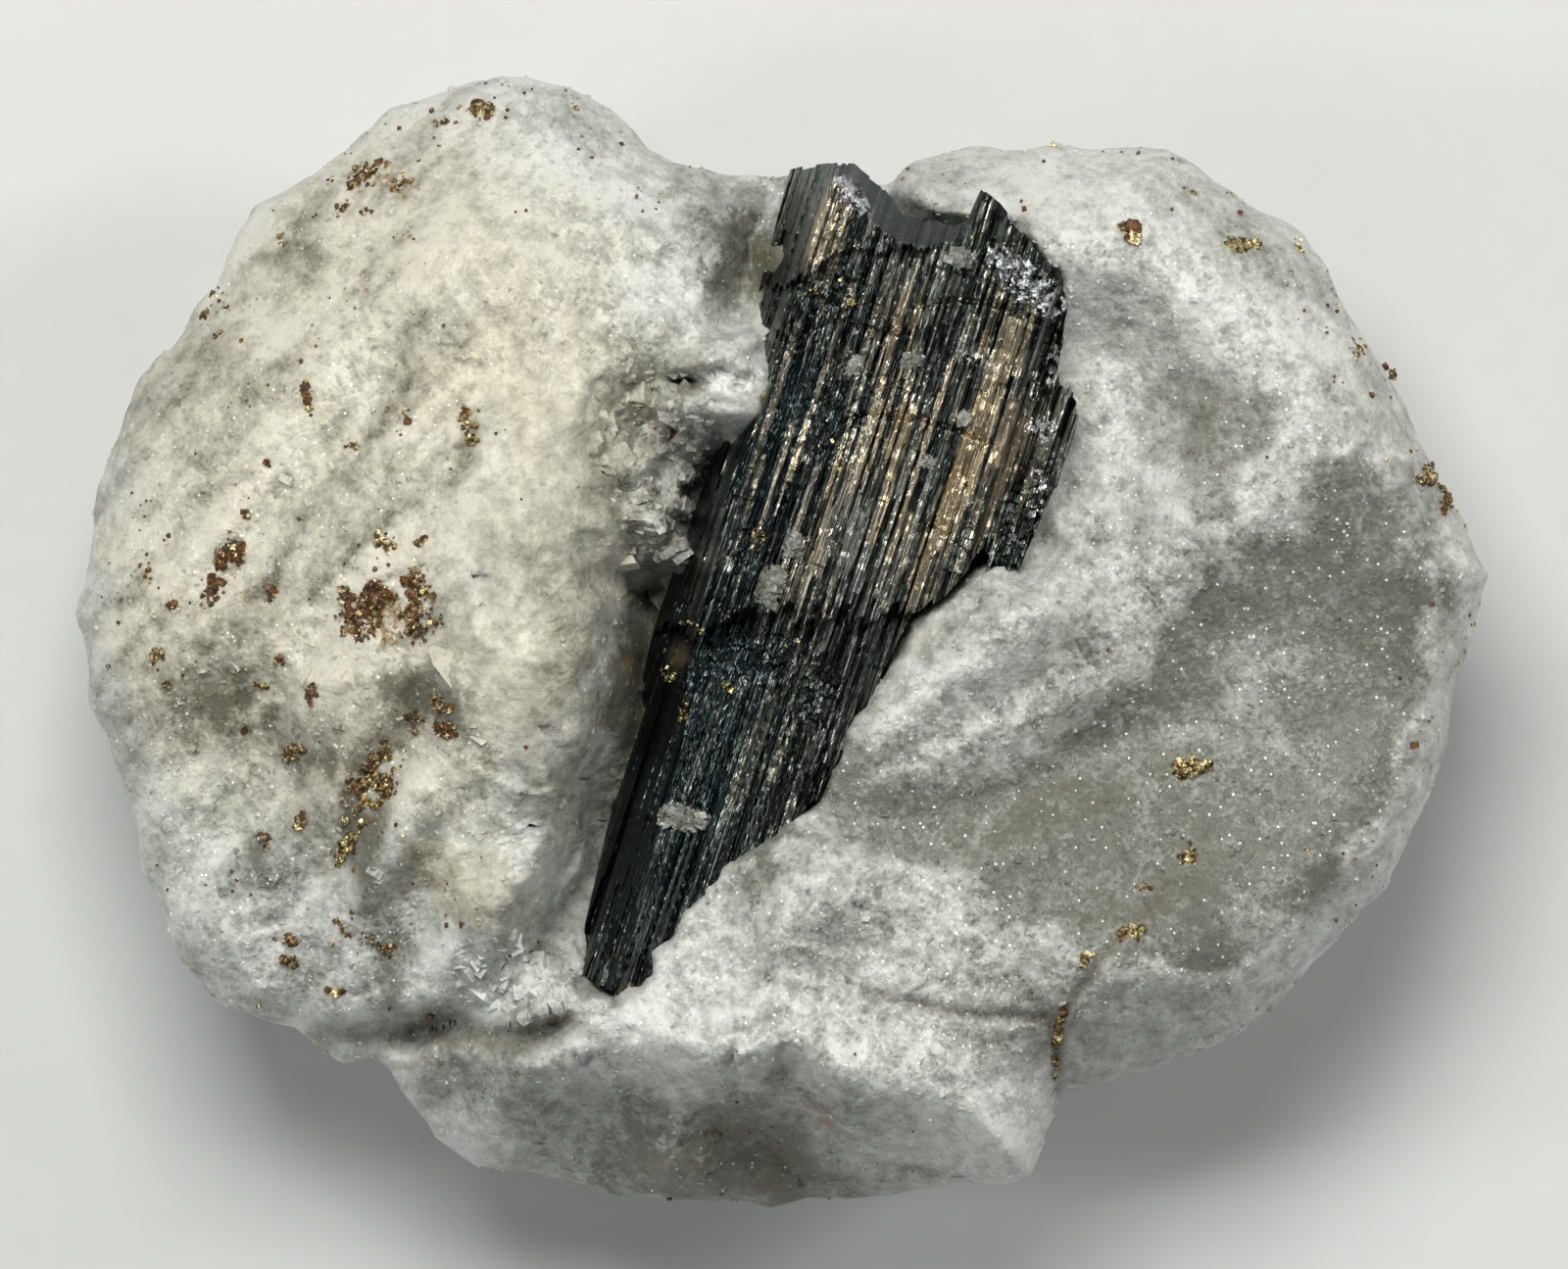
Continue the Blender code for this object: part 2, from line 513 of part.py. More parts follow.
def crystal_sheet(collection, material):
    """The crystal's upper side as lengthwise ridges broken by three steps, closed down to its floor."""
    across, rise, bar = crystal_grid()
    jag = 0.3 * hashed(bar, 2 + 0 * bar, 73)
    lower = break_line(LOWER_BREAK, across, jag)
    middle = break_line(MIDDLE_BREAK, across, jag)
    upper = break_line(UPPER_BREAK, across, 0.5 * jag)
    brow = np.maximum(break_line(END_EDGE, across, 0 * jag), upper + 0.08)
    recess = 0.35 * smooth(0.6, 0.1, across) + 0.9 * smooth(3.1, 3.3, across)
    right = smooth(0.2, 1.6, across)
    block_two = smooth(3.15, 3.25, across)
    crown = 0.35 * smooth(-2.2, 0.4, across) - 0.7 * smooth(1.6, 4.4, across) - 0.45 * block_two
    rows = [
        (np.full(len(across), -8.6), -0.35),
        (lower - 2.6 + 2 * jag, -0.45),
        (lower - 2.5 + 2 * jag, -0.65 + 0.2 * jag),
        (lower - 0.06, -0.85),
        (lower, 0.0),
        (lower + 2.4 - 3 * jag, 0.12),
        (lower + 2.5 - 3 * jag, 0.02 + 0.5 * jag),
        (middle - 0.05, 0.1 * right),
        (middle, 0.1 * right - recess),
        (0.5 * (middle + upper) + jag, 0.1 * right - recess + 0.35 * jag),
        (upper - 0.12, 0.1 * right - recess),
        (upper, 0.05 - 0.5 * right),
        (brow, 0.05 - 0.5 * right),
        (np.full(len(across), 10.6), -2.3 + 1.8 * right + 1.7 * smooth(-1.4, -2.0, across)),
    ]
    mesh = grid_mesh("rathite_crystal", len(across) - 1, len(rows) - 1)
    flat = vertex_places(mesh)
    column = np.rint((flat[:, 0] + 1) / 2 * (len(across) - 1)).astype(int)
    row = np.rint((flat[:, 1] + 1) / 2 * (len(rows) - 1)).astype(int)
    along = np.array([r[0] for r in rows])[row, column]
    step = np.array([r[1] + np.zeros(len(across)) for r in rows])[row, column]
    facet = (row >= len(rows) - 2) & (across[column] > -2.1) & (across[column] < 0.9)
    ridged = np.where(facet, 0.0, rise[column])
    level = CRYSTAL_LEVEL + CRYSTAL_SLOPE * along + crown[column] + ridged + step
    level = np.where(column == 0, SIDE_FOOT + SIDE_FALL * along, level)
    lean = SIDE_LEAN * smooth(2.5, -6.0, along) * smooth(0.5, FRONT_EDGE, across[column])
    move_vertices(mesh, np.column_stack([across[column] + lean, along, level]))
    close_bottom(mesh, CRYSTAL_FLOOR)
    return add_object("rathite_crystal", mesh, collection, material)


def offset_outline(outline, gap):
    """An outline moved outwards along the mean of the two edges' normals at each corner."""
    p = np.array(outline)
    edge = np.roll(p, -1, axis=0) - p
    normal = np.column_stack([edge[:, 1], -edge[:, 0]]) / np.hypot(*edge.T)[:, None]
    mean = normal + np.roll(normal, 1, axis=0)
    mean = mean / np.maximum(np.hypot(*mean.T), 0.6)[:, None]
    return p + gap * mean


def make_crystal(collection, cutters, material):
    """The crystal, trimmed to its outline; its seat is the same outline drawn a little wider."""
    crystal = crystal_sheet(collection, material)
    trim_mesh = prism_mesh("crystal_outline", CRYSTAL_OUTLINE, CRYSTAL_FLOOR - 1, ABOVE_ALL)
    trim = add_object("crystal_outline", trim_mesh, cutters)
    boolean(crystal, "INTERSECT", trim)
    wider = offset_outline(CRYSTAL_OUTLINE, SEAT_GAP)
    seat_mesh = prism_mesh("crystal_seat", wider, CRYSTAL_FLOOR - SEAT_GAP, ABOVE_ALL)
    seat = add_object("crystal_seat", seat_mesh, cutters)
    turn = Matrix.Rotation(np.radians(CRYSTAL_TURN), 4, "Z")
    crystal.data.transform(turn)
    seat.data.transform(turn)
    return crystal, seat


def cube_cluster(name, size, turn, count, seed):
    """Cubes grown into one another along the longer side of a patch, as one mesh for each cube."""
    long_way = int(size[1] > size[0])
    alone = count == 1
    cubes = []
    for k in range(count):
        spin = hashed(np.arange(4), np.full(4, k), seed)
        edge = np.array(size) * (1.0 if alone else 0.74)
        edge[long_way] = size[long_way] * (1.0 if alone else min(0.7, 1.7 / count))
        place = 0.2 * spin[:3] * np.array(size) * (0.0 if alone else 1.0)
        place[long_way] = size[long_way] * (k - (count - 1) / 2) / (count + 0.6)
        place[2] = 0.5 * place[2]
        shape = bmesh.new()
        bmesh.ops.create_cube(shape, size=1.0)
        if alone:
            bmesh.ops.bevel(shape, geom=shape.edges[:], offset=0.16, segments=1, affect="EDGES")
        bmesh.ops.scale(shape, vec=Vector(edge) * MM, verts=shape.verts)
        tilt = Euler((0.35 * spin[1], 0.35 * spin[2], 0.5 * spin[3])).to_matrix()
        bmesh.ops.rotate(shape, matrix=tilt, verts=shape.verts)
        bmesh.ops.translate(shape, vec=Vector(place) * MM, verts=shape.verts)
        bmesh.ops.rotate(shape, matrix=Matrix.Rotation(np.radians(turn), 3, "Z"), verts=shape.verts)
        mesh = bpy.data.meshes.new(f"{name}_{k}")
        shape.to_mesh(mesh)
        shape.free()
        cubes.append(mesh)
    return cubes


def make_pyrite(entry, seed, collection, cutters, material):
    """One pyrite grain or cluster, set in the rock; its pocket is the same shape drawn larger."""
    name, place, size, turn, count = entry
    cubes = cube_cluster(name, size, turn, count, seed)
    grain = add_object(name, cubes[0], collection, material)
    for mesh in cubes[1:]:
        boolean(grain, "UNION", add_object(mesh.name + "_part", mesh, cutters))
    grain.data.materials.clear()
    grain.data.materials.append(material)
    level = float(front(np.array([place[0]]), np.array([place[1]]))[0]) - SUNK_SHARE * size[2]
    seat = Matrix.Translation(Vector((place[0], place[1], level)) * MM)
    hollow = grain.data.copy()
    hollow.materials.clear()
    hollow.transform(seat @ Matrix.Scale(POCKET_SCALE, 4))
    grain.data.transform(seat)
    return add_object(name + "_pocket", hollow, cutters)


def centre_on_base(objects):
    """Moves every piece alike, so the origin is under the middle of the whole specimen."""
    places = np.vstack([vertex_places(obj.data) for obj in objects])
    middle = (places.min(axis=0) + places.max(axis=0)) / 2
    for obj in objects:
        obj.data.transform(Matrix.Translation((-middle[0], -middle[1], 0)))


def make_specimen():
    for obj in list(bpy.data.objects):
        bpy.data.objects.remove(obj, do_unlink=True)
    specimen = bpy.data.collections.new("rathite")
    cutters = bpy.data.collections.new("cutters")
    bpy.context.scene.collection.children.link(specimen)
    bpy.context.scene.collection.children.link(cutters)
    dolomite = make_material("white_dolomite", (0.78, 0.76, 0.72), 0.6, 0.0)
    rathite = make_material("dark_rathite", (0.11, 0.115, 0.125), 0.3, 0.85)
    pyrite = make_material("brassy_pyrite", (0.5, 0.35, 0.14), 0.35, 0.9)
    block = make_block(specimen, cutters, dolomite)
    crystal, seat = make_crystal(specimen, cutters, rathite)
    boolean(block, "DIFFERENCE", seat)
    for k, entry in enumerate(PYRITE):
        boolean(block, "DIFFERENCE", make_pyrite(entry, 90 + k, specimen, cutters, pyrite))
    centre_on_base(list(specimen.objects))


make_specimen()
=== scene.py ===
"""Rathite on dolomite, dressed: sugary rock, striated crystal, pyrite and a plain pale stage.

Lengths inside the shape functions are in millimetres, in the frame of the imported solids:
X runs across the specimen, Y up its face and Z towards the viewer.
"""

import bpy
import numpy as np
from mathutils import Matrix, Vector


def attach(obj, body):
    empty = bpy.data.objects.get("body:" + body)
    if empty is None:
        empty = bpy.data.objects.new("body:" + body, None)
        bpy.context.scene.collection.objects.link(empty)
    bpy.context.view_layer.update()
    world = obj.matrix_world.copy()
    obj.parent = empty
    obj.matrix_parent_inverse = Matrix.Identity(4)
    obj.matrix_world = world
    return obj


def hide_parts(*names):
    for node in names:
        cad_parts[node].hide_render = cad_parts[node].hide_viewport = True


bl_info = {
    "name": "Rathite specimen",
    "version": (1, 0, 0),
    "blender": (4, 5, 0),
    "location": "View3D > Sidebar > Rathite",
    "description": "Dresses a rathite crystal on sugary dolomite with pyrite",
    "category": "Mesh",
}

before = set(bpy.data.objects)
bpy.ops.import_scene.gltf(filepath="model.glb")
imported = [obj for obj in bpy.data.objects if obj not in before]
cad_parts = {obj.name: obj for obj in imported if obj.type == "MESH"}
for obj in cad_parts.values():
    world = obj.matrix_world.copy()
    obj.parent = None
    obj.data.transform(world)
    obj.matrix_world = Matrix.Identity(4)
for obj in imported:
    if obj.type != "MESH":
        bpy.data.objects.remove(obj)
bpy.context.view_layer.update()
MM = 0.001

# The block's large forms, as in its solid ---------------------------------------------------------
# The silhouette, anticlockwise from its right-hand side.
OUTLINE = [
    (14.95, 1.4), (14.5, 2.55), (13.85, 3.4), (13.35, 4.4), (12.85, 5.35), (12.3, 6.3),
    (11.8, 7.1), (11.55, 7.9), (11.0, 8.6), (10.0, 9.2), (9.0, 9.8), (8.05, 10.4), (6.4, 10.4),
    (5.2, 10.5), (4.0, 10.4), (2.8, 10.15), (2.2, 9.7), (-0.4, 9.8), (-1.45, 9.9), (-2.3, 10.1),
    (-3.0, 10.6), (-3.7, 11.2), (-4.6, 11.75), (-5.4, 11.95), (-6.2, 11.9), (-6.9, 11.7),
    (-7.5, 11.45), (-8.3, 11.2), (-9.3, 10.35), (-10.35, 9.7), (-11.2, 9.1), (-11.9, 8.15),
    (-12.1, 7.5), (-12.65, 6.7), (-13.2, 6.05), (-13.65, 5.45), (-13.9, 4.8), (-14.25, 4.1),
    (-14.5, 3.2), (-14.65, 2.3), (-14.8, 1.5), (-14.95, 0.5), (-14.75, -0.5), (-14.7, -1.4),
    (-14.25, -2.0), (-14.05, -3.2), (-13.65, -4.5), (-13.25, -5.7), (-12.6, -7.0),
    (-11.8, -7.8), (-10.4, -8.25), (-9.9, -8.6), (-9.3, -8.9), (-8.65, -8.9), (-8.35, -9.1),
    (-7.85, -9.9), (-7.45, -10.6), (-6.6, -11.15), (-5.4, -11.35), (-4.1, -11.75),
    (-2.1, -11.9), (-0.2, -11.95), (1.7, -11.75), (2.9, -11.7), (3.75, -11.4), (4.75, -11.5),
    (5.2, -11.3), (5.45, -10.75), (5.5, -10.35), (5.9, -9.6), (6.8, -9.35), (7.9, -9.0),
    (9.1, -8.6), (10.1, -8.0), (11.0, -7.15), (12.0, -6.1), (12.8, -5.1), (13.15, -4.45),
    (13.65, -3.4), (14.0, -2.2), (14.2, -1.0), (14.5, -0.1), (14.7, 0.7),
]
# Where the left mound ends, from the top down.
CLIFF = [
    (-2.2, 10.8), (-1.9, 9.2), (-1.5, 8.1), (-2.0, 7.2), (-2.9, 6.4), (-4.0, 5.5), (-4.6, 4.4),
    (-4.3, 3.2), (-4.1, 2.0), (-3.75, 0.8), (-3.85, -0.9), (-4.1, -2.8), (-4.5, -4.3),
    (-5.1, -5.3), (-5.6, -6.2), (-6.6, -7.3), (-8.2, -8.5), (-9.8, -9.4),
]
# Where the ground on the right starts, from the top down.
BANK = [
    (1.2, 11.0), (2.2, 9.9), (3.2, 9.3), (5.0, 8.8), (6.1, 7.3), (6.2, 5.0), (5.9, 3.4), (4.9, 1.5),
    (3.8, 1.0), (2.6, 0.2), (1.9, -1.1), (1.1, -2.3), (0.6, -3.3), (-0.3, -4.1), (-1.3, -4.8),
    (-2.2, -5.8), (-2.9, -7.1), (-3.6, -7.7), (-5.0, -7.9), (-7.0, -8.6), (-9.5, -10.0),
]
# Swellings and hollows: centre, radii, turn in degrees, height, flat core.
LEFT_SWELLS = [
    ((-5.6, 0.3), (2.2, 6.5), 2, 0.9, 0.0),
    ((-5.9, 8.0), (3.4, 3.0), 0, 0.9, 0.0),
    ((-10.6, -3.9), (3.0, 4.6), 20, -1.5, 0.0),
    ((-7.7, -5.6), (1.2, 2.4), -25, -1.3, 0.0),
    ((-8.0, -2.2), (0.9, 2.6), -30, -0.8, 0.0),
    ((-9.3, 4.2), (1.4, 3.6), -35, -0.5, 0.0),
    ((-5.7, -5.6), (1.3, 1.6), 20, 0.9, 0.4),
]
VALLEY_SWELLS = [
    ((-1.3, 5.3), (1.9, 1.5), 15, 1.4, 0.3),
    ((-3.0, 2.3), (1.3, 2.0), 20, 1.0, 0.3),
    ((-3.1, 0.6), (0.8, 1.5), -15, -1.6, 0.0),
    ((-2.0, 5.3), (0.5, 0.9), 10, -0.5, 0.0),
    ((-0.9, 7.6), (1.1, 1.6), -10, -1.4, 0.1),
    ((-1.75, 3.1), (0.5, 1.7), -18, -1.5, 0.0),
    ((-5.7, -7.2), (2.2, 1.3), 30, 1.6, 0.2),
    ((-0.6, 9.0), (1.5, 1.9), 0, -1.0, 0.0),
]
RIGHT_SWELLS = [
    ((5.6, 9.0), (5.2, 3.0), -15, 1.6, 0.0),
    ((11.2, 5.0), (2.2, 4.8), 25, 0.7, 0.0),
    ((9.8, -1.2), (7.0, 5.6), 38, -1.8, 0.15),
    ((8.9, 4.6), (2.0, 2.8), 25, -0.6, 0.0),
    ((4.0, -0.3), (4.6, 1.3), 36, 1.0, 0.0),
    ((5.2, -2.9), (4.8, 1.5), 22, -0.9, 0.0),
    ((0.6, -5.4), (2.6, 1.7), 25, 1.1, 0.0),
    ((12.4, -4.0), (2.0, 5.5), -35, 0.4, 0.0),
    ((7.0, -6.8), (3.6, 2.0), 20, 0.9, 0.0),
    ((6.6, 4.6), (2.6, 4.6), -5, -1.9, 0.2),
    ((4.2, 9.4), (1.7, 1.2), -20, -0.6, 0.0),
]
APRON_SWELL = ((-0.8, -8.9), (5.6, 2.0), 0, 0.9, 0.0)
# Cracks: route, half-width, depth.
CRACKS = [
    ([(-9.8, -8.4), (-8.2, -8.3), (-6.8, -8.2), (-5.4, -8.35), (-4.6, -8.0)], 0.35, 1.3),
    ([(1.65, -7.35), (3.6, -7.8), (5.6, -7.9)], 0.12, 0.18),
    ([(8.1, -5.0), (7.0, -6.2), (5.7, -8.0), (5.8, -9.5)], 0.14, 0.16),
]
LEFT_LEVEL = 10.2
LEFT_RISE = 3.2
LEFT_MOUND = ((-5.6, 1.6), (8.5, 11.5), -8)
VALLEY_LEVEL = 8.2
VALLEY_SHELF = 2.2
RIGHT_LEVEL = 11.2
APRON_DROP = 4.2
# Thickness of the sugary crust, and the way that the left mound's beds run.
CRUST = 0.15
BED_TURN = 47.0
# The widest line round the block: its level, and how far in the front starts to round off to it.
RIM_LEVEL = 6.2
RIM_WIDTH = 4.6
# The base's share of the silhouette, how far the flank turns under it, how deep its faces cut, and how
# far the flank runs on below the floor before it is flattened.
BASE_SHARE = 0.74
FLANK_ANGLE = 78.0
FLANK_BITE = 0.06
BASE_OVERRUN = 0.4
# The block's grid: its number of steps, and the share of them that lies on the front.
BLOCK_GRID = 310
FRONT_SHARE = 0.86
# How much the grain and mottling draw in upwards above the rim, so that slopes aren't streaked.
UPRIGHT = 0.5

# The crystal, on its own axes: across to the right, along to its broad end ------------------------
CRYSTAL_TURN = -18.0
# Its two ragged ends: across, along.
UPPER_END = [
    (-2.95, 9.29), (-2.36, 9.6), (-1.49, 9.94), (-0.87, 9.71), (-0.28, 9.25), (0.45, 9.33),
    (0.8, 9.27), (1.03, 9.56), (1.09, 10.24), (1.52, 10.05), (2.63, 9.32), (3.18, 8.96),
    (3.54, 8.2), (3.69, 7.05), (4.28, 6.59), (4.44, 6.1),
]
LOWER_END = [
    (-2.95, -7.9), (-1.85, -8.2), (-0.98, -8.3), (-0.61, -7.84), (-0.34, -6.33), (0.1, -5.32),
    (0.26, -4.83), (1.06, -3.92), (1.59, -2.88), (2.06, -0.66), (2.31, 1.27), (2.84, 1.99),
    (3.3, 3.0), (3.78, 2.77), (4.19, 2.86), (4.3, 4.4), (4.44, 5.2),
]
# How far it reaches on the left (along, across) and on the right.
LEFT_SIDE = [
    (-8.3, -1.8), (-7.8, -1.95), (-6.92, -2.15), (-3.11, -2.47), (-0.57, -2.69), (3.6, -2.6),
    (9.6, -2.95),
]
RIGHT_SIDE = 4.44
# Breaks across the striated face, and the edge where the end face starts: across, along.
LOWER_BREAK = [
    (-3.2, -0.9), (-1.3, -0.1), (-0.8, 0.4), (-0.2, 0.57), (0.84, 0.75), (1.43, 0.94), (2.3, 1.4),
]
MIDDLE_BREAK = [
    (-3.2, 5.6), (-2.0, 6.1), (-1.4, 6.4), (-0.7, 6.8), (0.3, 7.05), (3.0, 6.5), (3.3, 6.6),
    (4.0, 6.9),
]
UPPER_BREAK = [(-3.2, 6.6), (-2.3, 7.0), (-1.5, 8.0), (-0.5, 8.36), (0.6, 8.9), (1.2, 8.5), (3.2, 8.45)]
END_EDGE = [
    (-3.2, 9.8), (-2.1, 9.5), (-0.93, 8.87), (-0.22, 8.62), (0.35, 8.76), (0.85, 9.1), (1.2, 8.6),
    (3.2, 8.55),
]
CRYSTAL_CRACKS = [
    [(-0.3, 4.75), (0.3, 5.1), (1.3, 5.3), (3.0, 5.3)],
    [(0.4, 7.4), (1.2, 7.9), (2.2, 8.05), (3.7, 7.9)],
    [(-2.4, 0.0), (-1.8, 0.3), (-1.2, 0.25)],
]
CRYSTAL_FLOOR = 6.8
CRYSTAL_LEVEL = 11.2
CRYSTAL_SLOPE = 0.1
# The side face on the left: where it starts, how far that moves right towards the lower end, its
# width, and the level and slope of its foot.
FRONT_EDGE = -2.0
SIDE_LEAN = 0.85
SIDE_WIDTH = 1.4
SIDE_FOOT = 7.3
SIDE_FALL = -0.07
CRYSTAL_COLUMNS = 360
CRYSTAL_ROWS = 250
# Over the crystal's two ends the rock is lowered to this far below its face. Each opening fades in from
# the first of its places along the crystal to the second.
OPENING_DEPTH = 1.5
LOWER_OPENING = (2.4, 1.4)
UPPER_OPENING = (7.6, 8.4)
# Laths of the striated face: step, width, length, seed. Then strips that lean: width, length, seed.
LATHS = [(0.08, 0.52, 7.0, 301), (0.07, 0.23, 5.0, 311), (0.05, 0.11, 2.4, 321), (0.03, 0.055, 1.5, 331)]
LEANING_STRIPS = [(0.26, 6.0, 371), (0.11, 4.0, 381)]

# Zones of the crystal, on its own axes: centre, radii, turn, strength, flat core -------------------
# Striations broken up into small uneven faces.
BROKEN_ZONES = [
    ((-1.35, 7.3), (0.95, 0.75), 15, 1.0, 0.5),
    ((-0.6, 4.9), (1.3, 1.5), -20, 0.75, 0.3),
    ((0.9, 5.9), (1.0, 0.8), 0, 0.45, 0.0),
    ((-1.3, 1.6), (0.5, 0.9), 0, 0.9, 0.3),
    ((-0.6, -0.5), (1.5, 0.65), 18, 0.9, 0.4),
    ((1.0, -0.9), (0.7, 1.0), 0, 0.9, 0.4),
    ((-1.6, -1.2), (0.5, 0.6), 0, 0.8, 0.2),
    ((3.9, 4.2), (0.6, 1.7), 0, 1.0, 0.5),
    ((3.0, 3.3), (0.4, 0.9), 0, 0.9, 0.3),
    ((2.6, 8.6), (1.4, 0.8), -20, 0.8, 0.4),
    ((3.4, 7.4), (0.5, 1.0), 0, 0.7, 0.3),
    ((-1.5, 8.7), (0.3, 0.6), 0, 0.9, 0.3),
]
# Fresh breaks that shine silvery: fresh metal, with its silver colour set in random cells as painted glints.
FRESH_ZONES = [
    ((2.5, 8.7), (1.4, 0.5), -22, 1.0, 0.4),
    ((-1.5, 9.28), (0.7, 0.3), -32, 1.0, 0.4),
    ((3.75, 5.85), (0.45, 0.35), 0, 0.9, 0.3),
    ((3.6, 7.2), (0.3, 0.9), 0, 0.5, 0.1),
    ((4.2, 4.6), (0.3, 1.6), 0, 0.4, 0.1),
    ((2.0, 6.9), (1.2, 0.5), -15, 0.3, 0.0),
    ((0.9, -1.2), (0.5, 0.8), 0, 0.35, 0.0),
]
# Zones where the crystal's streaks are lighter in colour, partly painted highlight.
BRIGHT_ZONES = [
    ((2.0, 4.6), (2.4, 4.6), 0, 0.3, 0.2),
    ((0.66, 2.5), (0.45, 1.5), 0, 0.6, 0.3),
    ((0.8, 2.3), (1.4, 2.6), 0, 0.25, 0.0),
    ((-1.75, 8.4), (0.5, 1.7), 0, 0.55, 0.4),
    ((0.4, 7.9), (1.6, 1.1), 0, 0.3, 0.3),
]
BRONZE_ZONES = [
    ((1.6, 5.0), (3.0, 5.2), 0, 0.85, 0.4),
    ((0.0, 3.6), (2.6, 4.6), 0, 0.7, 0.3),
    ((-1.8, 4.5), (0.9, 3.8), 0, 0.5, 0.1),
    ((0.6, -1.6), (1.4, 3.2), 0, 0.3, 0.0),
    ((-1.2, 7.3), (0.9, 0.6), 0, 0.8, 0.2),
]
# One lath that is bronze nearly all over, and one that has none.
BRONZE_LATH = ((-1.75, 8.4), (0.5, 1.8), 0, 0.8, 0.4)
PALE_LATH = ((0.66, 2.5), (0.5, 1.6), 0, 0.8, 0.3)
TEAL_ZONES = [
    ((-1.3, -2.6), (2.4, 6.4), 0, 0.9, 0.3),
    ((-1.4, 4.0), (1.8, 4.2), 0, 0.9, 0.2),
    ((2.2, 5.5), (2.4, 3.8), 0, 0.4, 0.0),
]
STAIN_ZONES = [
    ((-0.75, -8.0), (0.4, 0.35), 0, 0.4, 0.0),
    ((-2.0, -1.0), (0.35, 0.5), 0, 0.6, 0.0),
]

# Colour zones of the rock: centre, radii, turn, strength, flat core -------------------------------
GREY_ZONES = [
    ((7.5, -3.0), (11.5, 9.0), -20, 0.36, 0.5),
    ((-4.6, -1.0), (1.3, 7.0), 3, 0.4, 0.2),
    ((-6.0, -5.6), (1.9, 1.6), 0, 0.45, 0.2),
    ((7.0, 1.6), (1.7, 3.4), -8, 0.4, 0.2),
    ((3.3, 0.2), (0.9, 0.45), 20, 0.6, 0.0),
    ((-0.7, 8.5), (1.5, 2.2), -10, 0.85, 0.2),
    ((-1.6, 9.4), (1.6, 1.2), 0, 0.55, 0.0),
    # Painted shade on the bank below the crystal's lower right.
    ((-0.2, -4.6), (2.2, 1.0), 42, 0.8, 0.2),
    ((8.2, 4.6), (1.8, 1.5), 30, 0.45, 0.2),
    # Painted shade at the top of the cliff.
    ((-4.7, 1.4), (1.6, 2.8), 5, 0.4, 0.1),
    ((13.6, 1.6), (1.0, 2.6), 5, 0.7, 0.3),
    ((10.3, 8.0), (3.0, 0.8), -38, 0.45, 0.2),
    ((-11.54, -1.36), (2.0, 1.4), -10, 0.75, 0.2),
    ((-7.3, -1.25), (1.2, 0.8), -20, 0.95, 0.3),
    ((-10.1, -2.4), (1.1, 0.8), 0, 0.8, 0.2),
    ((-8.8, -3.8), (0.9, 1.3), -20, 0.8, 0.2),
    ((-10.9, -4.9), (1.4, 1.4), 0, 0.7, 0.2),
    ((-8.5, -6.5), (1.3, 1.7), 10, 0.75, 0.2),
    # Partly grey rock, partly painted shade in the trough beside the crystal.
    ((-3.2, -1.8), (1.3, 5.0), -8, 0.85, 0.2),
    # Partly grey rock, partly painted shade on the apron's underside, which faces down.
    ((-1.5, -11.0), (5.2, 2.2), -6, 0.85, 0.3),
    ((-6.0, -9.2), (3.0, 1.6), -20, 0.65, 0.2),
    ((0.6, -9.4), (3.4, 1.0), -14, 0.7, 0.1),
    ((-10.6, 8.3), (3.2, 0.9), 42, 0.6, 0.1),
    ((-2.6, 3.4), (2.0, 4.4), 10, 0.55, 0.3),
    ((-4.2, 10.6), (3.0, 0.8), -25, 0.4, 0.0),
    ((3.0, 10.2), (2.0, 0.6), 0, 0.35, 0.0),
    ((0.2, -5.6), (2.2, 1.3), 30, 0.25, 0.0),
    ((-5.4, 2.0), (1.6, 1.8), 0, 0.35, 0.0),
    ((-6.3, -5.3), (1.6, 1.2), 0, 0.3, 0.0),
    ((3.2, -2.0), (1.8, 0.7), 0, 0.3, 0.0),
    ((-0.6, -8.4), (3.0, 1.0), -8, 0.35, 0.0),
]
# Bare grey areas where the sugary crust is missing: outline, strength, width of the edge.
BARE_AREAS = [
    ([(11.0, 3.58), (12.26, 3.72), (13.09, 2.88), (13.65, 1.07), (13.65, -0.6), (13.23, -2.14),
      (12.54, -3.81), (11.56, -5.34), (10.17, -6.18), (8.77, -6.88), (7.38, -7.16), (6.12, -6.6),
      (5.84, -6.04), (4.45, -5.9), (3.75, -4.92), (2.64, -4.65), (1.24, -4.37), (0.68, -3.39),
      (1.24, -2.55), (2.9, -2.7), (5.0, -2.55), (6.26, -1.72), (7.66, -0.88), (7.93, 0.37),
      (9.05, 1.07), (9.6, 2.19), (10.72, 2.46)], 1.0, 0.4),
    ([(8.07, 4.56), (8.35, 5.11), (9.05, 5.53), (10.17, 5.25), (10.58, 4.7), (10.3, 3.86),
      (9.6, 3.3), (9.33, 2.33), (8.63, 2.33), (8.2, 2.88)], 0.7, 0.3),
]
# Patches that stay light inside the grey.
LIGHT_ZONES = [
    ((10.0, -1.0), (1.1, 1.6), -25, 0.4, 0.0),
    ((8.6, -2.0), (0.9, 0.6), 0, 0.3, 0.0),
    ((9.6, -6.0), (1.4, 0.7), 30, 0.35, 0.0),
    ((4.0, -3.6), (0.9, 0.5), 20, 0.3, 0.0),
    ((-7.7, -3.1), (0.9, 0.9), 0, 0.8, 0.2),
    # Partly painted light on the lit slope of the ridge beside the crystal.
    ((4.4, -0.2), (3.6, 0.9), 35, 0.5, 0.2),
    ((5.0, 9.5), (1.9, 0.9), 0, 0.5, 0.1),
]
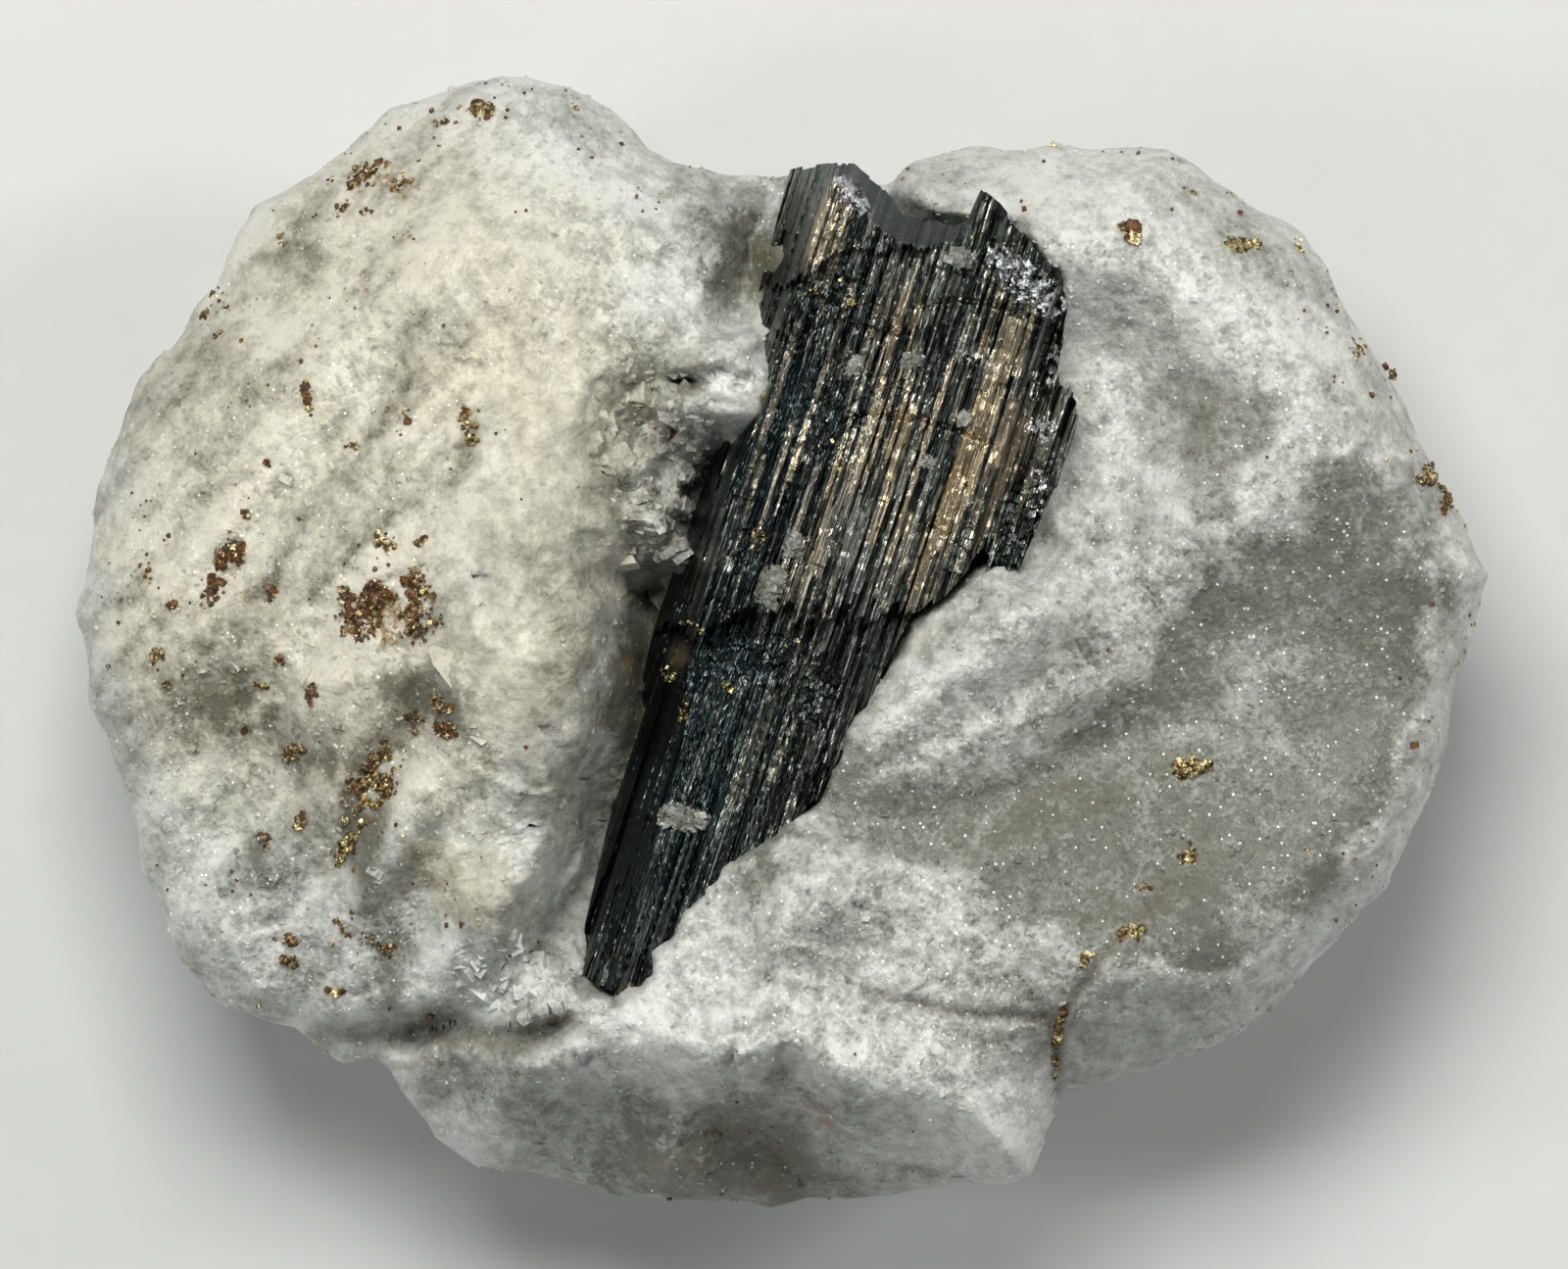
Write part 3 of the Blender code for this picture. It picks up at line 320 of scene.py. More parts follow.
# Narrow grey veins and creases: route, half-width, strength.
VEINS = [
    ([(-7.5, 5.7), (-8.55, 4.3), (-9.4, 3.3), (-10.5, 1.95), (-11.0, 1.1)], 0.24, 0.65),
    ([(-11.2, 3.6), (-12.3, 2.6), (-13.4, 1.7), (-13.9, 0.7)], 0.2, 0.5),
    ([(-6.4, 4.3), (-7.1, 3.3), (-8.3, 2.6), (-9.2, 1.7), (-9.8, 1.1)], 0.22, 0.6),
    ([(-10.6, 6.1), (-11.8, 4.3), (-13.4, 2.6)], 0.16, 0.3),
    ([(-8.1, 8.4), (-9.0, 7.2), (-10.4, 6.0), (-11.4, 5.2)], 0.2, 0.25),
    ([(3.5, -2.3), (5.0, -2.3), (6.5, -1.3), (7.6, -0.6), (8.6, 0.6)], 0.16, 0.35),
    ([(-7.6, -2.4), (-8.2, -3.2), (-8.9, -4.4), (-8.9, -5.8)], 0.25, 0.5),
    ([(1.6, -7.3), (3.6, -7.8), (5.6, -7.9)], 0.15, 0.5),
]
CREAM_ZONES = [
    ((-8.5, 3.2), (7.5, 10.0), -8, 0.75, 0.5),
    ((-6.5, 5.6), (2.4, 3.4), -20, 1.1, 0.2),
    ((-5.4, 4.6), (2.2, 4.4), -15, 0.45, 0.1),
    ((-6.7, -5.0), (1.6, 1.2), 0, 0.9, 0.2),
    ((-4.6, -2.0), (1.1, 3.8), 5, 0.3, 0.0),
    ((-13.0, 0.5), (2.0, 6.0), 10, 0.8, 0.2),
    ((2.3, 0.3), (1.5, 1.0), 30, 0.4, 0.0),
]
# Dim, brownish hollows: partly the rock's own dark colour, partly painted shade in the trough, the hole and
# slot beside the crystal, the pocket by its top, the bank below it, under the ridge, on the apron's
# underside and along the shadow line under the mound.
MURK_AND_SHADE_ZONES = [
    ((-3.0, -1.7), (1.0, 5.0), -7, 1.0, 0.35),
    ((-2.1, 5.45), (0.45, 0.35), 10, 1.0, 0.0),
    ((-0.6, 7.9), (1.0, 1.7), -12, 0.85, 0.1),
    ((-0.1, -4.5), (1.6, 0.45), 42, 0.45, 0.0),
    ((-1.75, 3.2), (0.45, 1.6), -18, 0.7, 0.0),
    ((-7.4, -1.3), (0.9, 0.8), 0, 0.6, 0.0),
    ((-8.3, -3.2), (1.0, 2.0), -28, 0.5, 0.0),
    ((-9.2, -4.4), (0.5, 1.1), -28, 0.7, 0.0),
    ((-8.3, -7.4), (0.5, 1.5), 25, 0.5, 0.0),
    ((1.0, -2.5), (1.7, 0.6), 30, 0.45, 0.0),
    ((8.9, 4.5), (1.5, 2.3), 25, 0.4, 0.0),
    ((-0.9, -10.5), (1.9, 0.45), -8, 0.9, 0.1),
    ((-1.0, -11.4), (4.4, 0.9), 0, 0.45, 0.0),
    ((2.9, -11.4), (1.3, 0.3), 0, 0.7, 0.0),
    ((-8.2, -8.6), (1.3, 0.3), -5, 0.6, 0.0),
    ((-4.2, -7.0), (0.6, 0.6), 0, 0.5, 0.1),
    ((5.8, -8.3), (0.35, 1.3), -5, 0.6, 0.0),
    ((-5.6, -8.4), (3.0, 0.4), 8, 0.5, 0.0),
    ((-10.5, 8.3), (2.4, 0.6), 42, 0.3, 0.0),
]
# Small forms of the shelf: two fingers reaching the crystal, a hole between them and rounded lumps.
SHELF_FORMS = [
    ((-1.35, 6.1), (1.45, 0.46), 22, 0.7, 0.35),
    ((-0.95, 5.75), (0.5, 0.3), -30, 0.7, 0.2),
    ((-1.75, 4.85), (1.6, 0.44), -4, 0.8, 0.35),
    ((-2.1, 5.45), (0.55, 0.24), -8, -0.8, 0.0),
    ((-3.1, 3.7), (0.8, 0.6), 30, 0.6, 0.3),
    ((-2.7, 2.6), (0.7, 0.8), -20, 0.7, 0.3),
    ((-3.9, 2.2), (0.6, 0.6), 0, 0.5, 0.3),
    ((-2.2, 1.7), (0.5, 0.7), 10, 0.6, 0.3),
    ((-2.9, 1.0), (0.4, 0.5), 0, -1.0, 0.0),
    ((5.1, 1.9), (0.9, 1.3), -20, -0.8, 0.2),
]
# Where the rock is cleaved smooth instead of sugary.
SMOOTH_ZONES = [
    ((-5.3, 2.6), (2.3, 5.6), -8, 1.0, 0.45),
    ((-4.7, -3.0), (1.3, 4.6), 8, 1.0, 0.45),
    ((-6.2, 7.6), (2.6, 2.8), 0, 0.7, 0.2),
    ((-6.3, -5.3), (1.6, 1.5), 0, 0.8, 0.3),
]
RUST_ZONES = [
    ((-8.2, 0.6), (1.3, 1.1), 20, 0.55, 0.1),
    ((-11.8, 1.5), (0.7, 1.1), 0, 0.5, 0.1),
    ((-3.15, -0.5), (0.35, 0.8), -10, 0.45, 0.0),
    ((0.4, -9.7), (0.55, 0.25), -15, 0.5, 0.0),
    ((-3.7, -7.5), (0.5, 0.25), 20, 0.5, 0.0),
    ((-8.5, 9.7), (1.2, 0.8), 35, 0.4, 0.0),
    ((-8.6, -3.0), (0.9, 1.6), -28, 0.25, 0.0),
]

# Pyrite: name, place, size, turn, tarnish from brass (0) to rust (1), grain size ------------------
PYRITE = [
    ("pyrite_crest_grain", (-6.3, 11.15), (0.5, 0.45), 20, 0.3, 0.1),
    ("pyrite_upper_cluster", (-8.5, 9.7), (1.6, 0.85), 38, 0.75, 0.075),
    ("pyrite_west_lump", (-11.8, 1.5), (0.6, 1.7), -24, 0.85, 0.07),
    ("pyrite_middle_patch", (-8.2, 0.6), (1.7, 1.5), 25, 0.6, 0.065),
    ("pyrite_lower_chain", (-8.5, -2.9), (0.85, 3.0), -34, 0.3, 0.06),
    ("pyrite_crystal_foot", (-2.75, 4.2), (0.7, 0.6), 40, 0.25, 0.075),
    ("pyrite_round_grain", (7.25, 8.55), (0.42, 0.42), 10, 0.9, 0.15),
    ("pyrite_bright_block", (9.7, 8.3), (0.6, 0.32), 8, 0.0, 0.11),
    ("pyrite_north_rim_grain", (12.0, 6.1), (0.45, 0.4), 50, 0.15, 0.08),
    ("pyrite_east_rim_grain", (13.55, 3.5), (0.45, 0.45), 15, 0.4, 0.08),
    ("pyrite_bowl_cluster", (8.6, -2.7), (0.72, 0.45), 12, 0.1, 0.09),
    ("pyrite_bowl_grain", (8.45, -4.5), (0.36, 0.3), 30, 0.25, 0.08),
    ("pyrite_crack_grain", (7.25, -6.1), (0.7, 0.3), 25, 0.25, 0.07),
    ("pyrite_joint_grain", (5.75, -8.2), (0.3, 0.9), -10, 0.3, 0.07),
]
# Loose grains on the rock: middle, spread each way, turn, count, tarnish, grain size.
SCATTERS = [
    ((-9.96, 5.06), (0.2, 0.7), 15, 26, 0.5, 0.075), ((-6.75, 4.4), (0.6, 0.8), 20, 34, 0.35, 0.06),
    ((-11.25, 2.7), (0.2, 0.2), 0, 8, 0.4, 0.07), ((-10.8, 3.7), (0.15, 0.12), 0, 5, 0.7, 0.08),
    ((-10.85, 1.1), (0.4, 0.8), 0, 26, 0.5, 0.05), ((-12.9, 0.75), (0.16, 0.35), 0, 12, 0.5, 0.07),
    ((-13.15, -0.3), (0.45, 0.3), 30, 22, 0.3, 0.07), ((-13.0, -0.85), (0.14, 0.2), 0, 7, 0.4, 0.07),
    ((-9.9, -1.0), (0.25, 0.65), -10, 30, 0.4, 0.06), ((-10.5, -0.4), (0.3, 0.3), 0, 14, 0.5, 0.05),
    ((-11.0, -0.9), (0.35, 0.2), 20, 14, 0.5, 0.06), ((-11.3, -1.9), (0.25, 0.2), 0, 12, 0.6, 0.05),
    ((-10.25, -2.3), (0.5, 0.4), -20, 50, 0.55, 0.06), ((-10.1, -3.7), (0.4, 0.55), -25, 46, 0.35, 0.07),
    ((-9.15, -4.3), (0.35, 0.9), -28, 90, 0.12, 0.06), ((-7.0, -1.9), (0.8, 0.5), -30, 50, 0.5, 0.055),
    ((-10.9, -4.2), (0.3, 0.4), 30, 20, 0.4, 0.06), ((-7.2, -1.3), (0.7, 0.4), -25, 40, 0.45, 0.05),
    ((-10.4, -6.3), (0.2, 0.3), 0, 12, 0.05, 0.08), ((-10.4, -6.75), (0.35, 0.2), 0, 16, 0.15, 0.07),
    ((-9.3, -6.0), (0.5, 0.3), -30, 18, 0.5, 0.05), ((-8.4, -6.4), (0.8, 0.4), -35, 36, 0.4, 0.05),
    ((-9.35, -7.4), (0.5, 0.2), 5, 26, 0.3, 0.055), ((-8.3, 2.0), (0.5, 0.5), 0, 22, 0.5, 0.065),
    ((-7.5, 2.05), (0.3, 0.2), 0, 10, 0.5, 0.06), ((-7.9, 4.7), (0.5, 0.3), 45, 8, 0.4, 0.05),
    ((-12.2, 6.9), (0.3, 0.3), 0, 14, 0.4, 0.06), ((-11.9, 6.4), (0.2, 0.3), 0, 10, 0.3, 0.06),
    ((-7.2, 10.9), (0.4, 0.3), 20, 12, 0.5, 0.06), ((8.5, 9.5), (0.4, 0.2), -30, 8, 0.5, 0.07),
    ((10.9, 8.2), (0.4, 0.2), -40, 16, 0.1, 0.08), ((12.8, 5.7), (0.3, 0.15), -50, 10, 0.3, 0.07),
    ((13.9, 3.0), (0.3, 0.5), 20, 16, 0.3, 0.07), ((7.6, -5.2), (0.4, 0.2), -20, 14, 0.4, 0.05),
    ((6.3, -6.7), (0.4, 0.3), -40, 22, 0.3, 0.06), ((5.7, -9.0), (0.2, 0.5), 10, 22, 0.3, 0.06),
]
# Crumbs and brassy specks on the crystal: middle across and along, spread each way, count.
CRUMBS = [
    ((-0.6, 1.0), (0.26, 0.42), 190), ((-0.85, -4.2), (0.5, 0.24), 200), ((0.75, 6.4), (0.2, 0.18), 60),
    ((1.05, 8.75), (0.24, 0.2), 80), ((-0.35, 5.9), (0.16, 0.24), 50), ((-0.4, 1.9), (0.16, 0.3), 50),
    ((1.7, 4.5), (0.14, 0.14), 24), ((2.2, 5.6), (0.12, 0.12), 18),
]
BRASSY = [
    ((-1.2, 1.9), (0.2, 0.2), 16), ((-2.1, -1.4), (0.16, 0.2), 14), ((-1.5, -2.1), (0.16, 0.24), 12),
    ((-0.8, -1.3), (0.3, 0.14), 16), ((-1.2, 7.2), (0.7, 0.4), 20), ((0.2, 0.0), (1.2, 0.3), 14),
    ((-1.7, 5.6), (0.5, 1.2), 14), ((-0.2, 4.0), (0.8, 0.6), 14), ((-1.9, -0.4), (0.3, 0.5), 10),
]
# Larger cleaved blocks: place, size, turn and lean.
BLOCKS = [
    (-6.85, -0.4, 0.7, 30, 24), (-6.35, -1.9, 0.6, 52, -20), (-5.3, -7.0, 0.6, 10, 25),
    (-4.7, -7.4, 0.45, 70, -20), (-2.3, 2.0, 0.55, 40, 20), (-3.4, 1.7, 0.5, 15, -25),
    (-6.0, -7.6, 0.42, 60, 15), (-2.6, 0.9, 0.4, 35, 20), (-3.0, 3.0, 0.5, 25, -18),
    (-2.4, 4.0, 0.4, 60, 24), (-3.7, 4.6, 0.45, 10, 18),
]
# Where the rock is broken into small faces, where small blocks crowd, and where a few lie loose.
SHELF_FACES = [((-2.7, 3.2), (1.9, 3.6), 12, 1.0, 0.4), ((-5.2, -7.3), (1.8, 1.0), 0, 1.0, 0.3)]
CROWDED_BLOCKS = [((-2.6, 3.9), (1.5, 2.8), 12, 1.0, 0.4), ((-5.6, -7.0), (1.6, 1.1), 0, 1.0, 0.4)]
LOOSE_BLOCKS = [((-10.0, -2.0), (4.0, 8.0), -10, 1.0, 0.4)]
# Typical widths of the small crystals, the widest sugar grain, and the number of small blocks.
SMALL_BLOCK = 0.2
SPECK = 0.045
CRUMB = 0.1
BRASSY_SPECK = 0.05
WIDEST_SUGAR = 0.35
SMALL_BLOCKS = 330
# Sugar grains count as on the front, and blocks and specks lie, where the rock faces up this much.
FACING_UP = 0.3
BLOCKS_UP = 0.1
# No grain is set lower than this.
CLEAR_OF_FLOOR = 0.3
# Corners of a small crystal.
CORNERS = 8

# What the rock's and the crystal's materials read from their meshes -------------------------------
ROCK_LAYERS = ("grey", "cream", "rust", "murk", "sugar", "even")
CRYSTAL_LAYERS = ("tone", "bronze", "teal", "fresh", "plain", "stain")

# Stage, in metres ---------------------------------------------------------------------------------
FLOOR_REACH = 0.6
FRAME_WIDTH = 33.12 * MM
FRAME_MIDDLE = 0.13 * MM
RIM_HEIGHT = 7.0 * MM
SENSOR_WIDTH = 36.0
LIGHTS_AIM = (0, 0, 0.008)
# Each light: name, place, width and height, strength in watts, colour.
LIGHTS = [
    ("key_light", (-0.02, 0.085, 0.19), (0.1, 0.07), 0.42, (0.985, 0.99, 0.95)),
    ("right_strip", (0.15, 0.05, 0.11), (0.03, 0.12), 0.12, (1.0, 1.0, 1.0)),
    ("left_strip", (-0.15, -0.02, 0.11), (0.03, 0.12), 0.09, (0.95, 0.98, 1.0)),
    ("front_fill", (0.03, -0.16, 0.16), (0.12, 0.06), 0.05, (0.95, 0.98, 1.0)),
]
SKY = (0.9, 0.94, 1.0, 1.0)
SKY_STRENGTH = 0.05


# Shape formulas -----------------------------------------------------------------------------------
def smooth(low, high, x):
    """A soft step from 0 at low to 1 at high."""
    t = np.clip((x - low) / (high - low), 0, 1)
    return t * t * (3 - 2 * t)


def turned(x, y, degrees):
    """Places read on axes turned about Z: how far along the first axis, and how far left of it."""
    angle = np.radians(degrees)
    return x * np.cos(angle) + y * np.sin(angle), y * np.cos(angle) - x * np.sin(angle)


def placed(u, v, degrees, middle=(0, 0)):
    """The way back: places on axes turned about a middle, read as X and Y."""
    angle = np.radians(degrees)
    x = middle[0] + u * np.cos(angle) - v * np.sin(angle)
    return x, middle[1] + u * np.sin(angle) + v * np.cos(angle)


def swelling(x, y, centre, radii, turn, height, core=0.0):
    """An elliptical swelling, flat inside its core and fading to nothing at its edge."""
    along, across = turned(x - centre[0], y - centre[1], turn)
    return height * smooth(1.0, core, np.hypot(along / radii[0], across / radii[1]))


def with_swellings(ground, x, y, entries):
    """Ground with each swelling and hollow of a list added."""
    for entry in entries:
        ground = ground + swelling(x, y, *entry)
    return ground


def zone(x, y, entries):
    """The strongest of several swellings at each place."""
    return np.max([swelling(x, y, *entry) for entry in entries], axis=0)


def reach_to(x, y, start, end):
    """Distance to the straight stretch from start to end."""
    ex, ey = end[0] - start[0], end[1] - start[1]
    dx, dy = x - start[0], y - start[1]
    t = np.clip((dx * ex + dy * ey) / (ex * ex + ey * ey), 0, 1)
    return np.hypot(dx - t * ex, dy - t * ey)


def sides_of(corners):
    """The sides of a closed outline, as pairs of corners."""
    return zip(corners, corners[1:] + corners[:1])


def east_of(x, y, route):
    """Distance from a route walked downwards, positive on its right-hand side seen from the front."""
    best = np.full(np.shape(x), 1e9)
    sign = np.ones(np.shape(x))
    for (x0, y0), (x1, y1) in zip(route[:-1], route[1:]):
        reach = reach_to(x, y, (x0, y0), (x1, y1))
        nearer = reach < best
        best = np.where(nearer, reach, best)
        sign = np.where(nearer, np.sign((y - y0) * (x1 - x0) - (x - x0) * (y1 - y0)), sign)
    return best * sign


def within(x, y, corners, edge):
    """1 inside an outline and 0 outside it, changing over the width of its edge."""
    reach = np.full(np.shape(x), 1e9)
    inside = np.zeros(np.shape(x), bool)
    for (x0, y0), (x1, y1) in sides_of(corners):
        reach = np.minimum(reach, reach_to(x, y, (x0, y0), (x1, y1)))
        crossed = ((y0 > y) != (y1 > y)) & (x < x0 + (x1 - x0) * (y - y0) / ((y1 - y0) or 1e-9))
        inside = inside ^ crossed
    return smooth(-edge, edge, np.where(inside, reach, -reach))


def hashed(ix, iy, seed):
    """A repeatable number from -1 to 1 for each cell, its bits mixed by large odd factors."""
    h = (ix * 374761393 + iy * 668265263 + seed * 974634777) & 0xFFFFFFFF
    h = ((h ^ (h >> 13)) * 1274126177) & 0xFFFFFFFF
    h = ((h ^ (h >> 15)) * 2246822519) & 0xFFFFFFFF
    return ((h ^ (h >> 16)) & 0xFFFFFFFF) / 2147483647.5 - 1


def cell_of(x, size):
    """The whole-numbered cell of each place, and how far across it the place is."""
    cell = np.floor(np.asarray(x) / size).astype(np.int64)
    return cell, np.asarray(x) / size - cell


def lumps(x, y, size, seed):
    """Smooth lumps about size across, from -1 to 1: cell values blended between the corners."""
    cell_x, fx = cell_of(x, size)
    cell_y, fy = cell_of(y, size)
    fx = fx * fx * (3 - 2 * fx)
    fy = fy * fy * (3 - 2 * fy)
    low = hashed(cell_x, cell_y, seed) * (1 - fx) + hashed(cell_x + 1, cell_y, seed) * fx
    high = hashed(cell_x, cell_y + 1, seed) * (1 - fx) + hashed(cell_x + 1, cell_y + 1, seed) * fx
    return low * (1 - fy) + high * fy


def plates(x, y, size, seed):
    """Tilted flat faces about size across, meeting in small steps, from about -1 to 1."""
    cell_x, _ = cell_of(x, size)
    cell_y, _ = cell_of(y, size)
    best = np.full(np.shape(x), 1e9)
    level = np.zeros(np.shape(x))
    for step_x in (-1, 0, 1):
        for step_y in (-1, 0, 1):
            ix = cell_x + step_x
            iy = cell_y + step_y
            from_x = x / size - ix - 0.5 - 0.42 * hashed(ix, iy, seed)
            from_y = y / size - iy - 0.5 - 0.42 * hashed(ix, iy, seed + 1)
            reach = from_x ** 2 + from_y ** 2
            face = hashed(ix, iy, seed + 2) * from_x + hashed(ix, iy, seed + 3) * from_y
            nearer = reach < best
            best = np.where(nearer, reach, best)
            level = np.where(nearer, face + 0.3 * hashed(ix, iy, seed + 4), level)
    return level


def wandering(x, y):
    """How far the edges of the colour zones stray from their plain shapes."""
    return 0.5 * lumps(x, y, 1.1, 201) + 0.25 * lumps(x, y, 0.45, 202)


def bare(x, y):
    """Where the sugary crust is missing and smooth grey rock shows, from 0 to 1."""
    stray = 0.7 * wandering(x, y)
    return np.max([
        strength * within(x + stray, y - stray, corners, edge) for corners, strength, edge in BARE_AREAS
    ], axis=0)


def left_mound(x, y):
    """The mound on the left: a crest along its inner side, with beds dipping across it."""
    ground = LEFT_LEVEL + swelling(x, y, *LEFT_MOUND, LEFT_RISE)
    ground = with_swellings(ground, x, y, LEFT_SWELLS)
    along, across = turned(x, y, BED_TURN)
    beds = 0.36 * lumps(along / 5, across, 1.2, 11) + 0.16 * lumps(along / 4, across, 0.6, 12)
    return ground + beds * smooth(-3.5, -6.5, x + 0.15 * y) * (1 - 0.6 * smooth(1, 5, y))


def valley(x, y):
    """The trough beside the crystal, with a shelf of lumps in its upper half."""
    ground = VALLEY_LEVEL + VALLEY_SHELF * smooth(0.2, 4.2, y) * smooth(10, 7.8, y)
    return with_swellings(ground, x, y, VALLEY_SWELLS)


def right_ground(x, y):
    """The right-hand side: a hump at the top, a ridge by the crystal and a wide smooth bowl."""
    return with_swellings(RIGHT_LEVEL + np.zeros(np.shape(x)), x, y, RIGHT_SWELLS)


def bowl_calm(x, y):
    """1 over the rough rock, less inside the smooth bowl on the right."""
    return 1 - 0.55 * smooth(1.0, 0.6, np.hypot((x - 9.5) / 5.5, (y + 0.8) / 6.0))


def height(x, y):
    """Level of the front before its rim is rounded off: mound, trough, right side and apron."""
    wander = 0.35 * lumps(x, y, 1.6, 5) + 0.18 * lumps(x, y, 0.7, 6)
    beyond = east_of(x + 0.3 * wander, y, BANK)
    low = valley(x, y)
    ground = low + (right_ground(x, y) - low) * smooth(-0.75, -0.1, beyond)
    beyond = east_of(x + wander, y + 0.5 * wander, CLIFF) - 0.5 * smooth(0, 3, y)
    high = left_mound(x, y)
    ground = high + (ground - high) * smooth(-0.5, 0.85, beyond)
    ground = ground + swelling(x, y, *APRON_SWELL)
    for route, width, depth in CRACKS:
        ground = ground - depth * np.exp(-(east_of(x, y, route) / width) ** 2)
    ragged = y + 0.1 * (x + 1) + 0.9 * lumps(x, y, 1.9, 37)
    overhang = smooth(-8.6, -11.9, ragged) * smooth(-9.6, -7.0, x) * smooth(5.0, 1.5, x)
    ground = ground + 0.5 * lumps(x, y, 1.3, 38) * smooth(-7.5, -9.5, y)
    ground = ground - APRON_DROP * overhang
    ground = ground + (0.35 * lumps(x, y, 2.6, 31) + 0.15 * lumps(x, y, 1.2, 32)) * smooth(12, -2, x)
    calm = bowl_calm(x, y)
    calm = calm * (1 - 0.5 * smooth(0, 3, x)) * (1 - (0.3 + 0.3 * smooth(1, 5, y)) * smooth(-4, -6, x))
    uncrusted = bare(x, y)
    faces = calm * (0.3 * plates(x, y, 1.7, 51) + 0.16 * plates(x + 0.2 * y, y, 0.8, 61))
    return ground + faces * (1 - 0.9 * uncrusted) - CRUST * uncrusted


def rim_distance(x, y):
    """Distance in from the silhouette."""
    best = np.full(np.shape(x), 1e9)
    for start, end in sides_of(OUTLINE):
        best = np.minimum(best, reach_to(x, y, start, end))
    return best


def top_notch(x, y):
    """1 at the saddle in the top edge, where the rim is high and sharp."""
    return smooth(6, 11, y) * smooth(4, 0, np.abs(x - 0.5))


def rim_level(x, y):
    """Height of the widest line round the block."""
    level = RIM_LEVEL + 1.8 * top_notch(x, y) - 1.2 * smooth(-9.0, -11.5, y) * smooth(5.0, 2.0, x)
    return level + 0.4 * np.sin(0.9 * x) * np.sin(0.7 * y)


def front(x, y):
    """Finished level of the front: the relief, rounded down to the rim by a bent curve."""
    width = RIM_WIDTH - 2.6 * top_notch(x, y)
    inward = np.clip(1 - rim_distance(x, y) / width, 0, 1)
    rim = rim_level(x, y)
    return rim + (height(x, y) - rim) * np.sqrt(1 - inward ** 2.3)


def over_crystal(x, y):
    """How far the rock drops to leave the crystal's two ends open, with a ragged edge round them."""
    ragged = x + 0.14 * lumps(x, y, 0.55, 71) + 0.08 * lumps(x, y, 0.25, 72)
    across, along = turned(ragged, y, CRYSTAL_TURN)
    open_to = CRYSTAL_LEVEL + CRYSTAL_SLOPE * along - OPENING_DEPTH
    ends = smooth(*LOWER_OPENING, along) + smooth(*UPPER_OPENING, along)
    share = within(across, along, LOWER_END + UPPER_END[::-1], 0.16) * ends
    return share * np.maximum(front(x, y) - open_to, 0)


def silhouette_reach(angle):
    """Distance from the middle to the silhouette in each direction: where a ray crosses its edge."""
    corner = np.array(OUTLINE)
    ring = np.unwrap(np.arctan2(corner[:, 1], corner[:, 0]))
    turned = (angle - ring[0]) % (2 * np.pi) + ring[0]
    start = np.searchsorted(ring, turned, side="right") - 1
    p = corner[start]
    edge = corner[(start + 1) % len(corner)] - p
    return (p[..., 0] * edge[..., 1] - p[..., 1] * edge[..., 0]) / (
        np.cos(angle) * edge[..., 1] - np.sin(angle) * edge[..., 0]
    )


def round_base_reach(angle):
    """The base outline: the silhouette smoothed over a wide arc and drawn in."""
    spread = np.linspace(-0.35, 0.35, 9)
    total = sum(silhouette_reach(angle + s) for s in spread)
    return BASE_SHARE * total / len(spread)


def square_to_disc(a, b):
    """A square's point as a direction and a share of the way out: its rings become circles."""
    ring = np.maximum(np.abs(a), np.abs(b))
    safe = np.where(ring > 0, ring, 1)
    wide = np.abs(a) >= np.abs(b)
    quarter = np.where(wide, b * np.sign(a), 2 * safe - a * np.sign(b)) / safe
    behind = np.where(wide, a < 0, b < 0)
    return quarter * np.pi / 4 + np.where(behind, np.pi, 0), ring


def block_points(a, b):
    """The block: a square wrapped over the front out to the rim, then down the flank to the base."""
    angle, ring = square_to_disc(a, b)
    reach = silhouette_reach(angle)
    inner = 1 - (1 - np.clip(ring / FRONT_SHARE, 0, 1)) ** 1.15
    x = reach * inner * np.cos(angle)
    y = reach * inner * np.sin(angle)
    z = front(x, y)
    fall = np.radians(FLANK_ANGLE) * np.clip((ring - FRONT_SHARE) / (1 - FRONT_SHARE), 0, 1)
    base = round_base_reach(angle)
    spread = base + (reach - base) * np.cos(fall)
    drop = np.sin(fall) / np.sin(np.radians(FLANK_ANGLE))
    rim = rim_level(reach * np.cos(angle), reach * np.sin(angle))
    down = rim - (rim + BASE_OVERRUN) * drop
    skew_x = spread * np.cos(angle) + 0.8 * down
    skew_y = spread * np.sin(angle) - 0.7 * down
    bite = 1 + 0.7 * plates(skew_x, skew_y, 4.2, 43) + 0.3 * plates(skew_x, skew_y, 1.6, 47)
    rough = 1 - FLANK_BITE * bite * smooth(0.0, 0.25, fall)
    flank = ring > FRONT_SHARE
    x = np.where(flank, spread * rough * np.cos(angle), x)
    y = np.where(flank, spread * rough * np.sin(angle), y)
    z = np.where(flank, down, z)
    return np.stack([x, y, z], axis=-1)


def grid_normals(points):
    """Outward direction at each point of a grid of points, from the slopes along its two ways."""
    one_way = np.gradient(points, axis=0)
    other_way = np.gradient(points, axis=1)
    normal = np.cross(other_way, one_way)
    return normal / np.maximum(np.linalg.norm(normal, axis=-1, keepdims=True), 1e-12)


def solid_noise(points, size, seed):
    """Lumps about size across in space, longer upwards above the rim: three slanting flat noises."""
    x, y, z = np.moveaxis(points, -1, 0)
    z = np.minimum(z, RIM_LEVEL) + UPRIGHT * np.maximum(z - RIM_LEVEL, 0)
    one = lumps(x + 0.35 * z, y - 0.25 * z, size, seed)
    two = lumps(y + 0.3 * x, z + 0.2 * x, size, seed + 1)
    three = lumps(z - 0.3 * y, x + 0.3 * y, size, seed + 2)
    return (one + two + three) / 1.8


# Mesh making --------------------------------------------------------------------------------------
LEVEL_WITHIN = 1e-9
CUBE_CORNERS = np.array([(x, y, z) for z in (-0.5, 0.5) for y in (-0.5, 0.5) for x in (-0.5, 0.5)])
CUBE_FACES = np.array([(0, 2, 3, 1), (4, 5, 7, 6), (0, 1, 5, 4), (2, 6, 7, 3), (0, 4, 6, 2), (1, 3, 7, 5)])


